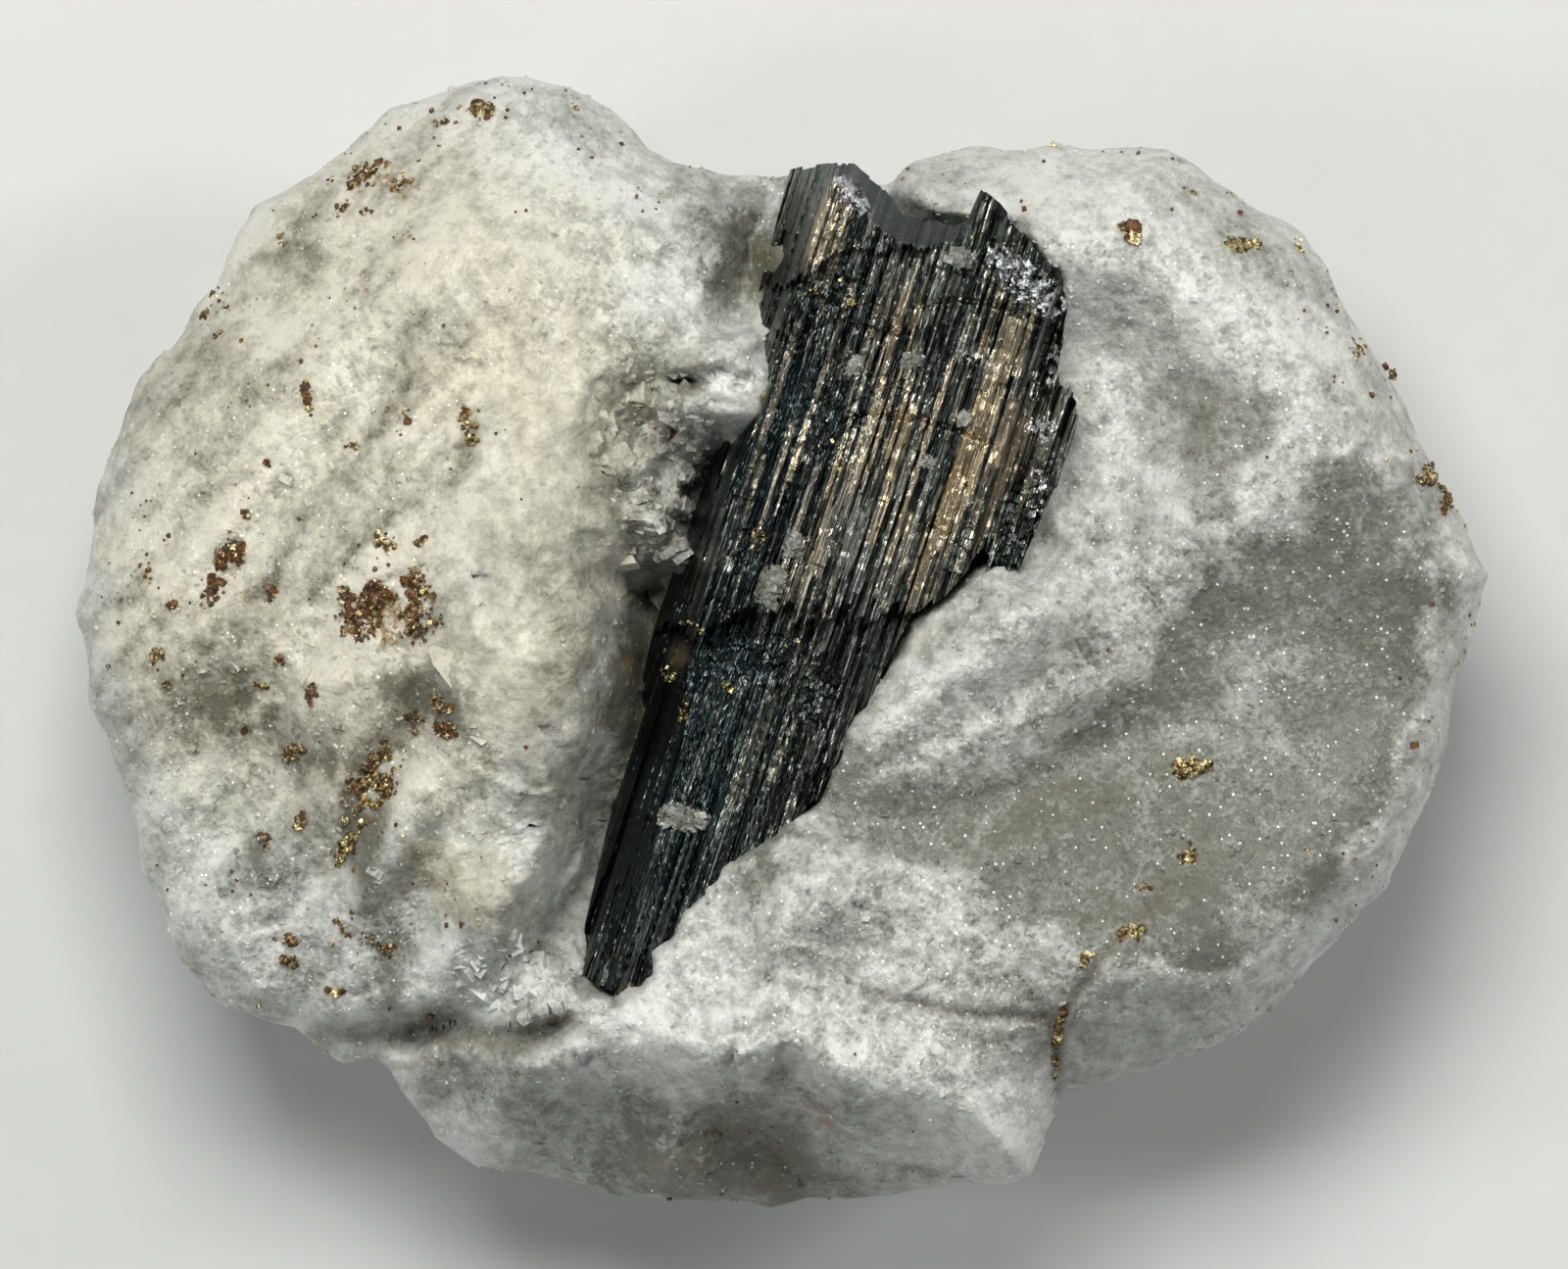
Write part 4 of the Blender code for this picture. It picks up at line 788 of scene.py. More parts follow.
def sheet_faces(rows, columns):
    """The four-cornered faces of a grid whose points run row by row."""
    corner = (np.arange(rows - 1)[:, None] * columns + np.arange(columns - 1)).ravel()
    return np.stack([corner, corner + 1, corner + columns + 1, corner + columns], axis=1)


def sheet_border(rows, columns):
    """The border of a grid as a ring of point numbers, in the turning sense of its faces."""
    last = columns - 1
    bottom = np.arange(columns)
    right = np.arange(1, rows) * columns + last
    top = (rows - 1) * columns + np.arange(columns - 2, -1, -1)
    left = np.arange(rows - 2, 0, -1) * columns
    return np.concatenate([bottom, right, top, left])


def closed_sheet(points, floor):
    """A grid closed underneath: its border, drawn down to the floor unless level, fanned to its middle."""
    rows, columns = points.shape[:2]
    vertices = points.reshape(-1, 3)
    ring = sheet_border(rows, columns)
    faces = [sheet_faces(rows, columns)]
    if np.ptp(vertices[ring, 2]) > LEVEL_WITHIN:
        foot = vertices[ring].copy()
        foot[:, 2] = floor
        low = len(vertices) + np.arange(len(ring))
        faces.append(np.stack([ring, low, np.roll(low, -1), np.roll(ring, -1)], axis=1))
        vertices = np.vstack([vertices, foot])
        ring = low
    fan = np.stack([np.roll(ring, -1), ring, np.full(len(ring), len(vertices))], axis=1)
    return np.vstack([vertices, vertices[ring].mean(axis=0)]), [*faces, fan]


def make_piece(name, vertices, faces, material, attributes=None, flat=False):
    """A mesh object from arrays: vertices in millimetres and blocks of faces with equal corner counts."""
    mesh = bpy.data.meshes.new(name)
    corners = np.concatenate([block.ravel() for block in faces])
    sizes = np.concatenate([np.full(len(block), block.shape[1]) for block in faces])
    starts = np.concatenate([[0], np.cumsum(sizes)[:-1]])
    mesh.vertices.add(len(vertices))
    mesh.loops.add(len(corners))
    mesh.polygons.add(len(sizes))
    mesh.vertices.foreach_set("co", (np.asarray(vertices, np.float64) * MM).ravel())
    mesh.loops.foreach_set("vertex_index", corners.astype(np.int32))
    mesh.polygons.foreach_set("loop_start", starts.astype(np.int32))
    mesh.polygons.foreach_set("use_smooth", np.full(len(sizes), not flat))
    mesh.update(calc_edges=True)
    for label, values in (attributes or {}).items():
        layer = mesh.attributes.new(label, "FLOAT", "POINT")
        layer.data.foreach_set("value", np.asarray(values, np.float32))
    mesh.materials.append(material)
    piece = bpy.data.objects.new(name, mesh)
    bpy.context.scene.collection.objects.link(piece)
    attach(piece, "root")
    return piece


def spins(rng, count):
    """Random rotation matrices, from random unit quaternions."""
    quaternions = rng.normal(size=(4, count))
    w, x, y, z = quaternions / np.linalg.norm(quaternions, axis=0)
    return np.stack([
        1 - 2 * (y * y + z * z), 2 * (x * y - z * w), 2 * (x * z + y * w),
        2 * (x * y + z * w), 1 - 2 * (x * x + z * z), 2 * (y * z - x * w),
        2 * (x * z - y * w), 2 * (y * z + x * w), 1 - 2 * (x * x + y * y),
    ], axis=-1).reshape(count, 3, 3)


def leaning(turn, lean):
    """Rotation matrices: a lean about X, then a turn about Z, both in degrees."""
    none = 0 * np.radians(turn)
    one = none + 1
    c, s = np.cos(np.radians(turn)), np.sin(np.radians(turn))
    about_z = np.stack([c, -s, none, s, c, none, none, none, one], axis=-1)
    c, s = np.cos(np.radians(lean)), np.sin(np.radians(lean))
    about_x = np.stack([one, none, none, none, c, -s, none, s, c], axis=-1)
    return about_z.reshape(-1, 3, 3) @ about_x.reshape(-1, 3, 3)


def varied(rng, middle, spread, count):
    """Sizes about a middle one, as likely to be so many times larger as smaller."""
    return middle * np.exp(spread * rng.normal(size=count))


def crystals(rng, centres, sizes, squash, spread=0.3, turns=None):
    """Small rhombs or cubes: corners squashed along the body diagonal, stretched, turned and placed."""
    count = len(centres)
    diagonal = CUBE_CORNERS.sum(axis=1, keepdims=True) / 3
    corners = CUBE_CORNERS + squash * diagonal
    stretch = 1 + spread * rng.uniform(-1, 1, (count, 1, 3))
    shaped = corners[None] * stretch * np.asarray(sizes)[:, None, None]
    spun = np.einsum("nij,nkj->nki", spins(rng, count) if turns is None else turns, shaped)
    vertices = (spun + np.asarray(centres)[:, None]).reshape(-1, 3)
    faces = (CUBE_FACES[None] + CORNERS * np.arange(count)[:, None, None]).reshape(-1, 4)
    return vertices, [faces]


class Ground:
    """The dolomite's finished surface as a grid of points, kept so that grains can be set on it."""

    points = None
    normals = None
    weights = None

    @classmethod
    def build(cls):
        """Wraps the grid over the block, opens it round the crystal and adds the fine relief."""
        side = np.linspace(-1, 1, BLOCK_GRID + 1)
        a, b = np.meshgrid(side, side)
        coarse = block_points(a, b)
        x, y, _ = np.moveaxis(coarse, -1, 0)
        coarse[..., 2] = with_swellings(coarse[..., 2], x, y, SHELF_FORMS)
        # Only the front is lowered: the flank lies well under it.
        coarse[..., 2] -= over_crystal(x, y) * (coarse[..., 2] > front(x, y) - 0.5)
        normal = grid_normals(coarse)
        points = coarse + normal * cls.relief(coarse, 1 - np.abs(normal[..., 2]))[..., None]
        points[..., 2] = np.maximum(points[..., 2], 0.0)
        cls.points = points
        cls.normals = grid_normals(points)
        area = np.linalg.norm(np.cross(np.gradient(points, axis=0), np.gradient(points, axis=1)), axis=-1)
        cls.weights = np.where(points[..., 2] > CLEAR_OF_FLOOR, area, 0.0)

    @staticmethod
    def relief(coarse, upright):
        """Fine relief out of the surface: lumps, grain-sized faces, the crest's fibres and the shelf."""
        x, y, z = np.moveaxis(coarse, -1, 0)
        crest = crest_calm(x, y)
        billow = 0.26 * plates(x, y, 0.75, 85) + 0.14 * plates(x, y, 0.36, 86)
        grains = 0.5 * plates(x + 0.2 * z, y - 0.2 * z, 0.45, 95)
        fine = 0.045 * solid_noise(coarse, 0.55, 81) + 0.03 * solid_noise(coarse, 0.28, 91)
        fine = fine + 0.05 * (1 - 0.6 * upright) * (1 - 0.75 * smooth(-3, -5, x)) * grains
        cleaved = crest_fibres(x, y) + 0.2 * crest_faces(x, y)
        rugged = 0.12 * solid_noise(coarse, 0.8, 97) * upright
        calm = bowl_calm(x, y) * (1 - 0.75 * crest)
        return rugged + calm * fine + crest * cleaved + zone(x, y, SHELF_FACES) * billow

    @classmethod
    def scatter(cls, rng, count, weight):
        """Random places on the surface, as likely as their area times the weight, with their normals."""
        share = cls.weights * weight
        share = share.ravel() / share.sum()
        chosen = rng.choice(len(share), size=count, p=share)
        slack = 0.02 * rng.normal(size=(count, 3))
        return cls.points.reshape(-1, 3)[chosen] + slack, cls.normals.reshape(-1, 3)[chosen]


# Shader writing -----------------------------------------------------------------------------------
class Varying:
    """One output socket: a number, colour or vector over a surface, with arithmetic on numbers."""

    def __init__(self, finish, socket):
        self.finish = finish
        self.socket = socket

    def maths(self, operation, *values, **settings):
        """A Math node on these values."""
        return self.finish.node("Math", {"operation": operation, **settings}, dict(enumerate(values)))

    def __add__(self, other):
        return self.maths("ADD", self, other)

    def __sub__(self, other):
        return self.maths("SUBTRACT", self, other)

    def __rsub__(self, other):
        return self.maths("SUBTRACT", other, self)

    def __mul__(self, other):
        return self.maths("MULTIPLY", self, other)

    __radd__ = __add__
    __rmul__ = __mul__

    def clamped(self):
        """This number held between 0 and 1."""
        return self.maths("ADD", self, 0.0, use_clamp=True)

    def step(self, low, high):
        """A soft step of this number from 0 at low to 1 at high."""
        settings = {"interpolation_type": "SMOOTHSTEP"}
        return self.finish.node("MapRange", settings, {0: self, 1: low, 2: high})


class Finish:
    """A material under construction, with one method that makes any node."""

    def __init__(self, name):
        self.material = bpy.data.materials.new(name)
        self.material.use_nodes = True
        self.tree = self.material.node_tree
        self.shader = self.tree.nodes["Principled BSDF"]
        self.place = self.node("TexCoord", {}, {}, "Object")

    def draw_in_upwards(self):
        """Counts heights above the rim short, so that steep slopes show whole grains from above."""
        x, y, z = (self.node("SeparateXYZ", {}, {0: self.place}, way) for way in range(3))
        low = z.maths("MINIMUM", z, RIM_LEVEL * MM)
        high = z.maths("MAXIMUM", z, RIM_LEVEL * MM) - RIM_LEVEL * MM
        self.place = self.node("CombineXYZ", {}, {0: x, 1: y, 2: low + high * UPRIGHT})

    def node(self, kind, settings, inputs, output=0):
        """Any node: its type, its settings, its sockets' values or links, and the output to read."""
        made = self.tree.nodes.new("ShaderNode" + kind)
        for key, value in settings.items():
            setattr(made, key, value)
        self.feed(made, inputs)
        return Varying(self, made.outputs[output])

    def feed(self, target, inputs):
        """Links each varying input of a node, and sets each constant one."""
        for key, value in inputs.items():
            if isinstance(value, Varying):
                self.tree.links.new(value.socket, target.inputs[key])
            else:
                target.inputs[key].default_value = value

    def set(self, **inputs):
        """Feeds the Principled shader; underscores in a name stand for spaces."""
        self.feed(self.shader, {key.replace("_", " "): value for key, value in inputs.items()})

    def attribute(self, name):
        """A number stored on the mesh."""
        return self.node("Attribute", {"attribute_name": name}, {}, "Fac")

    def noise(self, size, detail=3.0, rough=0.55, stretch=None):
        """Cloudy noise with features about size millimetres across."""
        at = self.place if stretch is None else self.stretched(*stretch)
        inputs = {"Vector": at, "Scale": 1 / (size * MM), "Detail": detail, "Roughness": rough}
        return self.node("TexNoise", {}, inputs)

    def stretched(self, turn, scale):
        """Object coordinates turned about Z and scaled."""
        inputs = {"Vector": self.place, "Rotation": (0, 0, np.radians(turn)), "Scale": scale}
        return self.node("Mapping", {"vector_type": "TEXTURE"}, inputs)

    def grains(self, size):
        """Cells about size millimetres across: a random vector, two numbers, the reach from each middle."""
        cells = self.node("TexVoronoi", {}, {"Vector": self.place, "Scale": 1 / (size * MM)}, "Color")
        reach = Varying(self, cells.socket.node.outputs["Distance"])
        return cells, self.channel(cells, 0), self.channel(cells, 1), reach

    def tilted(self, cells, amount, under=None):
        """The surface's normal, or the one given, leaned a random way in each cell."""
        lean = self.node("VectorMath", {"operation": "SUBTRACT"}, {0: cells, 1: (0.5, 0.5, 0.5)})
        lean = self.node("VectorMath", {"operation": "SCALE"}, {0: lean, "Scale": amount})
        straight = under or self.node("NewGeometry", {}, {}, "Normal")
        leaning = self.node("VectorMath", {"operation": "ADD"}, {0: straight, 1: lean})
        return self.node("VectorMath", {"operation": "NORMALIZE"}, {0: leaning})

    def channel(self, colour, which):
        """One part of a colour, as a number."""
        return self.node("SeparateColor", {}, {0: colour}, which)

    def blend(self, factor, one, other, mode="MIX"):
        """Two colours mixed by a factor."""
        settings = {"data_type": "RGBA", "blend_type": mode, "clamp_factor": True}
        return self.node("Mix", settings, {0: factor, 6: one, 7: other}, 2)

    def bump(self, value, depth, under=None):
        """A relief of the given depth in millimetres."""
        inputs = {"Height": value, "Distance": depth * MM, "Strength": 1.0}
        if under is not None:
            inputs["Normal"] = under
        return self.node("Bump", {}, inputs)


def colour(value):
    """Three parts of a colour as the four that a socket holds."""
    return (*value, 1.0)


def dolomite_finish(name, look, sugary):
    """White sugary dolomite: grey, cream and rust zones, each grain facing its own way, a few with painted
    glints as white spots, and murky hollows that are partly painted shade.
    """
    finish = Finish(name)
    grey, cream, rust, murk, sugar, even = map(finish.attribute, ROCK_LAYERS)
    finish.draw_in_upwards()
    cloud = finish.noise(0.4, 5.0, 0.66)
    lean, tone, glint, reach = finish.grains(0.085)
    broad_lean, broad_tone, _, _ = finish.grains(0.2)
    mottle = (cloud - 0.5) * (1.7 - even * 1.0) + (broad_tone - 0.5) * sugar * (0.3 - even * 0.15)
    greyness = (grey + mottle + (tone - 0.5) * (0.12 + sugar * (0.22 - even * 0.12))).clamped()
    shade = finish.blend(greyness, colour(look.white), colour(look.grey))
    warmed = finish.blend(1.0, shade, colour(look.cream), "MULTIPLY")
    shade = finish.blend(cream.clamped(), shade, warmed)
    # Dim brownish colour of the hollows, partly painted shade.
    shade = finish.blend((murk + (cloud - 0.5) * murk).clamped(), shade, colour(look.murk))
    # White spots on a few grain cells: painted glints.
    painted_glint = glint.step(0.94, 0.96) * reach.step(0.45, 0.2) * sugar
    shade = finish.blend(painted_glint * 0.85, shade, colour(look.painted_glint))
    rusted = (rust + (cloud - 0.5) * 0.6 + (tone - 0.5) * 0.3).step(0.3, 0.6)
    shade = finish.blend(rusted, shade, colour(look.rust))
    facing = finish.tilted(lean, sugar * sugary, finish.tilted(broad_lean, sugar * sugary * 0.6))
    micro = finish.bump(1.0 - cloud, 0.1, facing)
    finish.set(
        Base_Color=shade,
        Roughness=0.55 - glint * sugar * 0.35,
        Normal=micro,
        Subsurface_Weight=0.3,
        Subsurface_Radius=(1.0, 0.95, 0.86),
        Subsurface_Scale=0.3 * MM,
    )
    return finish.material


def rathite_finish(look):
    """Dark lead-grey metal, streaked lengthwise with light streaks that are partly painted highlight, bronze
    on some laths and silvery where fresh, with painted glints there.
    """
    finish = Finish("rathite_metal")
    tone, bronze, teal, fresh, plain, stain = map(finish.attribute, CRYSTAL_LAYERS)
    fine = finish.noise(0.045, 2.0, 0.5, stretch=(CRYSTAL_TURN, (1.0, 90.0, 1.0)))
    grit = finish.noise(0.1, 3.0, 0.65)
    lean, cell_tone, cell_glint, _ = finish.grains(0.13)
    # Light streaks, blended from dark to steel: partly painted highlight.
    streak = (tone + (fine - 0.5) * 1.3 + (grit - 0.5) * 0.25).step(0.25, 1.0)
    shade = finish.blend(streak, colour(look.dark), colour(look.steel))
    shade = finish.blend((teal * (1.2 - streak)).clamped() * 0.8, shade, colour(look.teal))
    shade = finish.blend((bronze * (0.3 + streak)).clamped(), shade, colour(look.bronze))
    # Silver in random cells of fresh breaks: fresh metal's colour, partly painted glints.
    fresh_and_painted_glint = (fresh * 0.8 + (cell_tone - 0.5) * 1.2).step(0.45, 0.6) * fresh.step(0.05, 0.4)
    shade = finish.blend(fresh_and_painted_glint, shade, colour(look.silver))
    shade = finish.blend(plain * 0.85, shade, colour(look.facet))
    shade = finish.blend((stain * (grit + 0.4)).clamped(), shade, colour(look.stain))
    facing = finish.tilted(lean, fresh * 0.9 + cell_glint.step(0.85, 0.9) * (1.0 - plain) * 0.35)
    lines = finish.bump(fine * (1.0 - plain), 0.02, facing)
    grain = finish.bump(grit * (0.25 + fresh + plain * 0.6), 0.03, lines)
    finish.set(
        Base_Color=shade,
        Metallic=1.0 - stain * 0.8,
        Normal=grain,
        Roughness=0.22 + grit * 0.2 + plain * 0.12,
    )
    return finish.material


def pyrite_finish(look):
    """Brassy pyrite, tarnished to rust brown where the grain says so."""
    finish = Finish("pyrite_brass")
    tarnish = finish.attribute("tarnish")
    patch = finish.noise(0.12, 3.0, 0.6)
    rusty = (tarnish * 1.5 + (patch - 0.5) * 1.1).step(0.35, 0.95)
    brass = finish.blend(patch.step(0.38, 0.58), colour(look.brass), colour(look.dark_brass))
    rust = finish.blend(patch.step(0.35, 0.65), colour(look.rust), colour(look.dark_rust))
    relief = finish.bump(finish.noise(0.05, 3.0, 0.6), 0.03)
    finish.set(
        Base_Color=finish.blend(rusty, brass, rust),
        Metallic=1.0 - rusty * 0.85,
        Roughness=0.34 + rusty * 0.3,
        Normal=relief,
    )
    return finish.material


def floor_finish(look):
    """Plain pale card with the faintest tooth."""
    finish = Finish("pale_card")
    tooth = finish.noise(0.8, 3.0, 0.5)
    shadow = [0.8 * part for part in look.floor]
    tint = finish.blend(tooth * 0.2, colour(look.floor), colour(shadow))
    finish.set(Base_Color=tint, Roughness=0.85)
    return finish.material


# Rock colours -------------------------------------------------------------------------------------
def crest_fibres(x, y):
    """Faint fibres running down the cleaved crest: long narrow ridges a third of a millimetre apart."""
    across = 0.96 * x + 0.28 * y + 0.3 * lumps(x, y, 2.2, 251)
    along = 0.28 * x - 0.96 * y
    return 0.04 * lumps(across, along / 8, 0.3, 252) + 0.05 * lumps(across, along / 5, 0.8, 253)


def crest_faces(x, y):
    """Broad cleaved faces of the crest, longest down to the right, from about -1 to 1."""
    bent = 0.5 * lumps(x, y, 1.8, 261)
    return plates(0.87 * x + 0.5 * y + bent, (0.5 * x - 0.87 * y) / 2.4, 1.1, 262)


def crest_calm(x, y):
    """1 on the smooth cleaved crest of the left mound, 0 on the sugary rock."""
    return zone(x, y, SMOOTH_ZONES)


def bed_streaks(x, y):
    """Light and dark streaks along the beds of the left mound."""
    along, across = turned(x, y, BED_TURN)
    beds = lumps(along / 6, across, 0.9, 241) + 0.7 * lumps(along / 5, across, 0.4, 242)
    beds = beds + 0.8 * lumps(along / 8, across, 0.2, 243) * smooth(-2.5, 1.5, y)
    return beds * smooth(-4.5, -7.0, x) * 0.26


def rock_greyness(x, y, z, mottle, calm, even):
    """Grey of zones (some of them painted shade), veins, bare areas and the foot of the flanks, paler at the
    rim and in light zones (one of them partly painted light).
    """
    wander = wandering(x, y)
    grey = zone(x + wander, y - wander, GREY_ZONES)
    grey = np.maximum(grey, 0.36 * smooth(7.5, 0.5, z + 2.5 * mottle))
    grey = np.maximum(grey, even)
    for route, width, strength in VEINS:
        grey = np.maximum(grey, strength * np.exp(-(east_of(x + 0.4 * wander, y, route) / width) ** 2))
    inward = rim_distance(x, y) + 0.3 * wander + 0.6 * smooth(-2, 2, y) * smooth(10, 12, x)
    rim = smooth(0.2, 1.3, inward) + smooth(-8.5, -9.5, y) + smooth(0, -2, x)
    grey = grey * np.clip(0.35 + 0.65 * rim, 0, 1) - zone(x + wander, y - wander, LIGHT_ZONES)
    mottled = (0.5 * mottle + bed_streaks(x, y)) * (1 - 0.6 * calm) * (1 - 0.5 * even)
    return 0.2 + 0.8 * grey + mottled


def rock_attributes(places, jitter=0.0):
    """The strength of each rock layer at each place, from its zones and mottling."""
    places = np.asarray(places).reshape(-1, 3)
    x, y, z = places.T
    wander = wandering(x, y)
    at = x + wander, y - wander
    mottle = 0.3 * solid_noise(places, 1.5, 211) + 0.3 * solid_noise(places, 0.7, 221)
    mottle = mottle + 0.2 * solid_noise(places, 0.35, 231)
    calm = crest_calm(x, y)
    even = bare(x, y) * smooth(5.0, 7.0, z + mottle)
    grey = rock_greyness(x, y, z, mottle, calm, even) + jitter
    crest = 3 * crest_fibres(x, y) + 0.3 * crest_faces(x, y)
    cream = zone(*at, CREAM_ZONES) + 0.25 * mottle + calm * crest
    # Murk: dim hollows, partly painted shade, and darker lines along the cracks, partly painted shade in the
    # grooves.
    murk = zone(*at, MURK_AND_SHADE_ZONES) * (1 + 0.6 * mottle)
    for route, width, _ in CRACKS:
        murk = np.maximum(murk, 0.7 * np.exp(-(east_of(x, y, route) / (0.9 * width)) ** 2))
    rust = zone(*at, RUST_ZONES) * (1 + mottle)
    return dict(zip(ROCK_LAYERS, (grey, cream, rust, murk, 1 - 0.85 * calm, even)))


# Crystal ------------------------------------------------------------------------------------------
def strips(across, width, seed):
    """The lengthwise strip each place is on, and how far across it: strips are unequal, about width wide."""
    bent = across + 0.33 * width * np.sin(across / width * 2.3 + seed)
    bent = bent + 0.2 * width * np.sin(across / width * 5.1)
    strip = np.floor(bent / width)
    return strip.astype(np.int64), bent / width - strip


def per_strip(strip, seed):
    """A repeatable number from -1 to 1 for each strip."""
    return hashed(strip, 0 * strip, seed)


def stretches(strip, along, length, shift, seed):
    """Which stretch of its strip each place is on, each strip being broken off at its own places."""
    return np.floor(along / length + shift * per_strip(strip, seed)).astype(np.int64)


def routed(route, at, **outside):
    """A route's second value, read off at its first."""
    first, second = np.array(route).T
    return np.interp(at, first, second, **outside)


def laths(across, along, width, length, seed):
    """Steps between flat lengthwise laths, each broken off at its own places along the crystal."""
    strip, _ = strips(across, width, seed)
    return hashed(strip, stretches(strip, along, length, 3.7, seed), seed + 1)


def jagged(route, across, reach):
    """A break line across the crystal, thrown forward and back strip by strip."""
    wide, _ = strips(across, 0.34, 5)
    thin, _ = strips(across, 0.12, 9)
    return routed(route, across) + reach * (0.6 * per_strip(wide, 73) + 0.4 * per_strip(thin, 74))


def striations(across, along):
    """The lengthwise relief: laths of four widths, a fine ridge, and strips that lean sideways."""
    relief = sum(step * laths(across, along, *lath) for step, *lath in LATHS)
    _, share = strips(across, 0.12, 341)
    relief = relief + 0.045 * (1 - 2 * np.abs(share - 0.45))
    for width, length, seed in LEANING_STRIPS:
        strip, share = strips(across, width, seed)
        tilt = hashed(strip, stretches(strip, along, length, 3, seed), seed + 1)
        relief = relief + 0.3 * width * tilt * (share - 0.5)
    return relief


def crystal_level(across, along):
    """Height of the striated face: a sloping plane, crowned across, stepped by laths and breaks."""
    lower = jagged(LOWER_BREAK, across, 0.32)
    middle = jagged(MIDDLE_BREAK, across, 0.25)
    upper = jagged(UPPER_BREAK, across, 0.16)
    right = smooth(0.2, 1.6, across)
    recess = 0.35 * smooth(0.6, 0.1, across) + 0.9 * smooth(3.1, 3.25, across)
    crown = 0.35 * smooth(-2.2, 0.4, across) - 0.7 * smooth(1.6, 4.4, across)
    crown = crown - 0.45 * smooth(3.12, 3.22, across)
    foot = -0.45 - 0.45 * smooth(-6.5, 0.5, along)
    body = 0.1 * right + 0.06 * np.sin(along * 0.9)
    step = foot + (body - foot) * smooth(-0.03, 0.03, along - lower)
    step = step - recess * smooth(-0.03, 0.03, along - middle)
    crest = 0.05 - 0.5 * right
    brow = np.maximum(jagged(END_EDGE, across, 0.05), upper)
    away = -2.3 + 1.8 * right + 1.7 * smooth(-1.4, -2.0, across) - crest
    end = crest + away * np.clip((along - brow) / (10.6 - brow), 0, 1)
    step = np.where(along > upper, end, step)
    return CRYSTAL_LEVEL + CRYSTAL_SLOPE * along + crown + step + crystal_relief(across, along, brow)


def crystal_relief(across, along, brow):
    """The fine relief: striations, rubble where they are broken up, none on the end face, and cracks."""
    broken = zone(across, along, BROKEN_ZONES)
    rubble = 0.16 * plates(across, along, 0.45, 351) + 0.1 * plates(across, along, 0.2, 361) - 0.1
    relief = striations(across, along) * (1 - 0.75 * broken) + rubble * broken
    relief = relief * (1 - end_facet(across, along, brow))
    for route in CRYSTAL_CRACKS:
        reach = along - routed(route, across, left=99, right=99)
        reach = reach + 0.06 * laths(across, along, 0.2, 9.0, 395)
        relief = relief - 0.12 * np.exp(-(reach / 0.05) ** 2)
    return relief


def end_facet(across, along, brow):
    """1 on the smooth face that slopes away behind its edge."""
    return smooth(-2.15, -2.0, across) * smooth(1.05, 0.95, across) * smooth(-0.02, 0.03, along - brow)


def crystal_points():
    """The crystal's upper side on a grid: columns across it, rows from its lower to its upper end."""
    share = np.linspace(0, 1, CRYSTAL_ROWS)[:, None]
    column = np.linspace(0, 1, CRYSTAL_COLUMNS)[None, :]
    guess = -2.7 + 7.1 * column
    strip, _ = strips(guess, 0.18, 17)
    rough = 1 + 1.5 * smooth(2.6, 3.2, guess)
    low = routed(LOWER_END, guess) + 0.08 * rough * per_strip(strip, 401)
    high = routed(UPPER_END, guess) + 0.06 * rough * per_strip(strip, 402)
    along = low + (high - low) * share
    left = routed(LEFT_SIDE, along)
    across = left + (RIGHT_SIDE - left) * column
    level = crystal_level(across, along)
    fresh = zone(across, along, FRESH_ZONES)
    splinters = 0.1 * plates(across, along, 0.22, 411) + 0.05 * plates(across, along, 0.1, 421)
    level = level + fresh * splinters
    lean = SIDE_LEAN * smooth(2.5, -6.0, along)
    edge = np.clip((FRONT_EDGE + lean + 0.08 * np.sin(1.7 * along) - across) / SIDE_WIDTH, 0, 1)
    foot = SIDE_FOOT + SIDE_FALL * along + 0.3 * laths(across, along, 0.12, 4.0, 391)
    level = level + (foot - level) * edge
    x, y = placed(across, along, CRYSTAL_TURN)
    return np.stack([x, y, level], axis=-1), across, along, fresh, edge


def crystal_attributes(across, along, fresh, edge):
    """The strength of each crystal layer over the crystal, streaked strip by strip; the lighter strips and
    bright zones are partly painted highlight, and the side face is darkened as painted shade.
    """
    wide, _ = strips(across, 0.21, 431)
    thin, _ = strips(across, 0.06, 441)
    wide_tone = hashed(wide, stretches(wide, along, 5.5, 2, 432), 433)
    thin_tone = hashed(thin, stretches(thin, along, 2.6, 2, 442), 443)
    cloud = lumps(across, along / 2, 0.9, 451)
    bright = zone(across, along, BRIGHT_ZONES)
    # Lighter strips along the striations, partly painted highlight.
    tone = 0.4 + bright + 0.12 * wide_tone + 0.5 * thin_tone + 0.08 * cloud
    tone = tone - 0.12 * smooth(1.5, -1.0, along)
    # Darker in the broken zones, and darker on the left side face as painted shade.
    tone = tone - 0.25 * zone(across, along, BROKEN_ZONES) - 0.28 * np.clip(2 * edge, 0, 1)
    bronze = zone(across, along, BRONZE_ZONES)
    bronze = bronze * smooth(-0.2, 0.6, thin_tone) * smooth(-1.2, 0.3, wide_tone + cloud)
    lath = swelling(across, along, *BRONZE_LATH) * smooth(-0.9, 0.3, thin_tone)
    bronze = np.maximum(bronze, lath) - swelling(across, along, *PALE_LATH)
    teal = zone(across, along, TEAL_ZONES)
    plain = end_facet(across, along, jagged(END_EDGE, across, 0.05)) * (1 - fresh)
    stain = zone(across, along, STAIN_ZONES)
    layers = zip(CRYSTAL_LAYERS, (tone, bronze, teal, fresh, plain, stain))
    return {layer: values.ravel() for layer, values in layers}


# Settings -----------------------------------------------------------------------------------------
def shade_property(name, description, default):
    """A colour that a user can change."""
    return bpy.props.FloatVectorProperty(
        name=name, description=description, default=default, subtype="COLOR", size=3, min=0, max=1
    )


